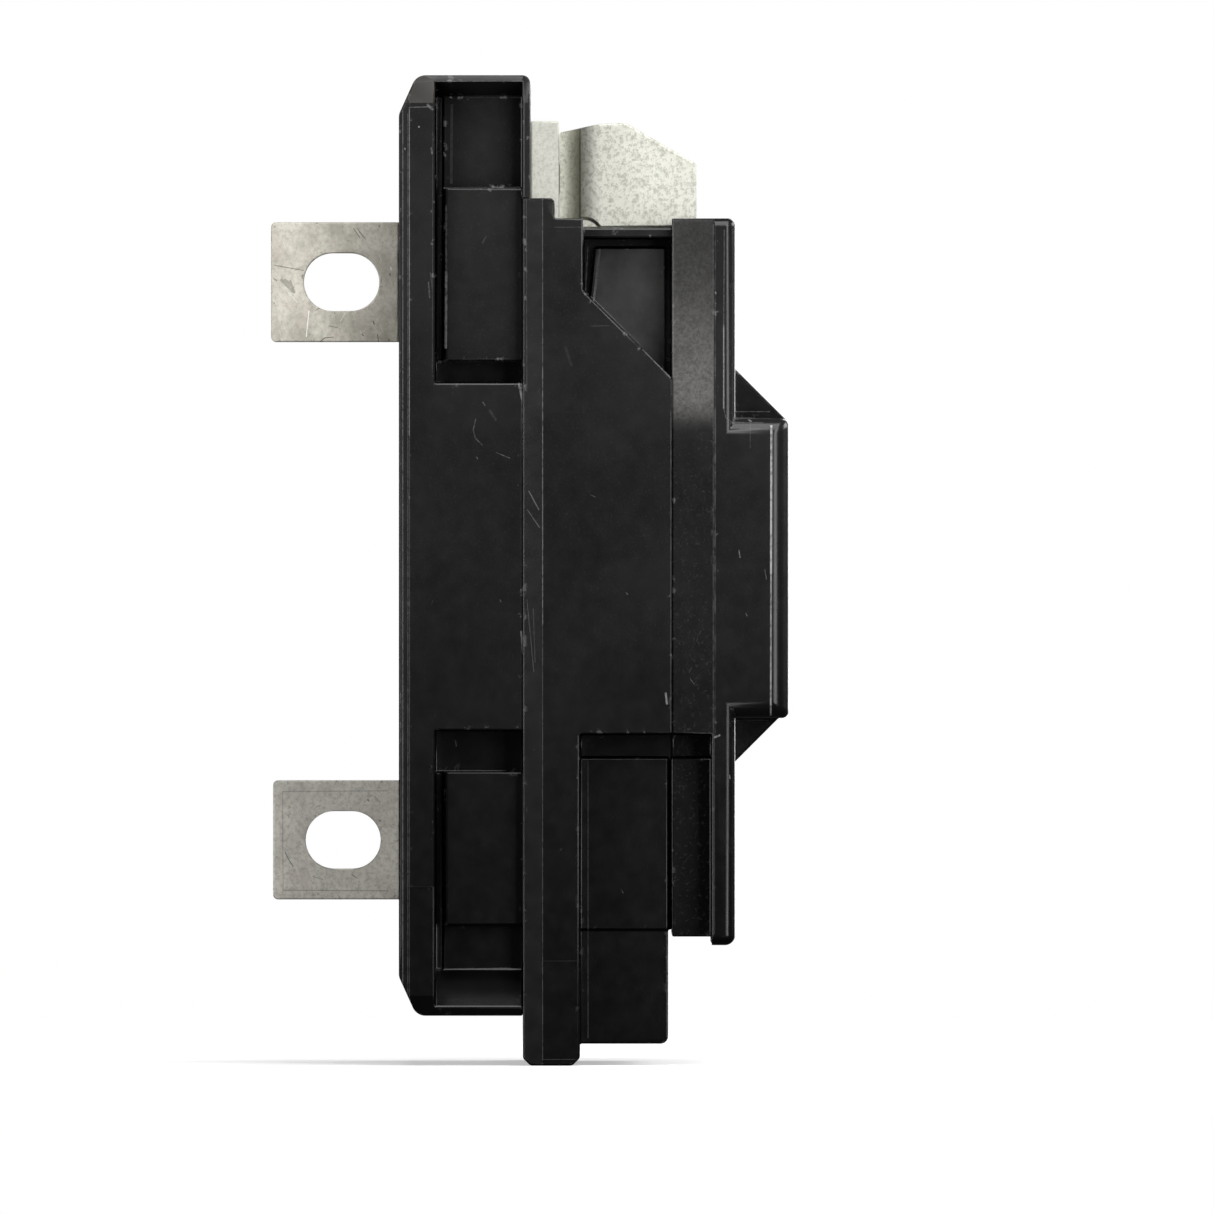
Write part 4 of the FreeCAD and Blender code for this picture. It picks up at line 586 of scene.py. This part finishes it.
def make_floor():
    """Plain pale floor that fades out into the background."""
    low = cad_box[0]
    centre = (cad_box[0] + cad_box[1]) / 2
    shape = bmesh.new()
    bmesh.ops.create_circle(shape, cap_ends=True, segments=96, radius=FLOOR_RADIUS)
    mesh = bpy.data.meshes.new("floor")
    shape.to_mesh(mesh)
    shape.free()
    floor = bpy.data.objects.new("floor", mesh)
    floor.location = (centre.x, centre.y, low.z - FLOOR_GAP)
    bpy.context.scene.collection.objects.link(floor)
    s = Shader("pale_floor")
    s.set(Base_Color=grey(0.90), Roughness=0.8, Specular_IOR_Level=0.1,
          Emission_Color=grey(1.0), Emission_Strength=0.42)
    clear = s.make("BsdfTransparent").outputs[0]
    reach = s.measure("LENGTH", s.place)
    fade = s.ramp(reach, 0.2, 0.98 * FLOOR_RADIUS)
    blend = s.make("MixShader", {0: fade, 1: s.surface.outputs[0], 2: clear})
    s.tree.links.new(blend.outputs[0], s.tree.nodes["Material Output"].inputs["Surface"])
    dress(floor, s.material)
    floor.visible_diffuse = False
    floor.visible_glossy = False


def area_light(name, place, aim, size, power):
    lamp = bpy.data.lights.new(name, "AREA")
    lamp.shape = "RECTANGLE"
    lamp.size, lamp.size_y = size
    lamp.energy = power
    holder = bpy.data.objects.new(name, lamp)
    holder.location = place
    holder.rotation_euler = (Vector(aim) - Vector(place)).to_track_quat("-Z", "Y").to_euler()
    holder.visible_camera = False
    bpy.context.scene.collection.objects.link(holder)


def light_studio():
    """Surroundings that light dimly but look white, and lights all round the part."""
    centre = (cad_box[0] + cad_box[1]) / 2
    world = bpy.data.worlds.new("studio")
    world.use_nodes = True
    tree = world.node_tree
    soft = tree.nodes["Background"]
    soft.inputs["Color"].default_value = (0.035, 0.035, 0.037, 1)
    white = tree.nodes.new("ShaderNodeBackground")
    white.inputs["Color"].default_value = (1, 1, 1, 1)
    seen = tree.nodes.new("ShaderNodeLightPath").outputs["Is Camera Ray"]
    choice = tree.nodes.new("ShaderNodeMixShader")
    tree.links.new(seen, choice.inputs[0])
    tree.links.new(soft.outputs[0], choice.inputs[1])
    tree.links.new(white.outputs[0], choice.inputs[2])
    tree.links.new(choice.outputs[0], tree.nodes["World Output"].inputs["Surface"])
    bpy.context.scene.world = world
    for name, place, size, power in LIGHTS:
        area_light(name, place, centre, size, power)


def place_camera():
    """Level view of the left side, at the photograph's framing."""
    middle = (cad_box[0] + cad_box[1]) / 2
    camera = bpy.data.objects.new("camera", bpy.data.cameras.new("camera"))
    camera.location = (-CAMERA_DISTANCE, middle.y - AIM_FORWARDS, middle.z - AIM_DOWN)
    camera.rotation_euler = (math.radians(90), 0, math.radians(-90))
    near = CAMERA_DISTANCE + cad_box[0].x
    camera.data.sensor_width = SENSOR_WIDTH
    camera.data.lens = SENSOR_WIDTH * near / VIEW_WIDTH
    camera.data.clip_end = 20
    bpy.context.scene.collection.objects.link(camera)
    bpy.context.scene.camera = camera


place_camera()
make_floor()
light_studio()
make_mouldings()
make_metalwork()
make_handle()
dress_inner_parts()
bpy.context.scene.view_settings.view_transform = "Standard"
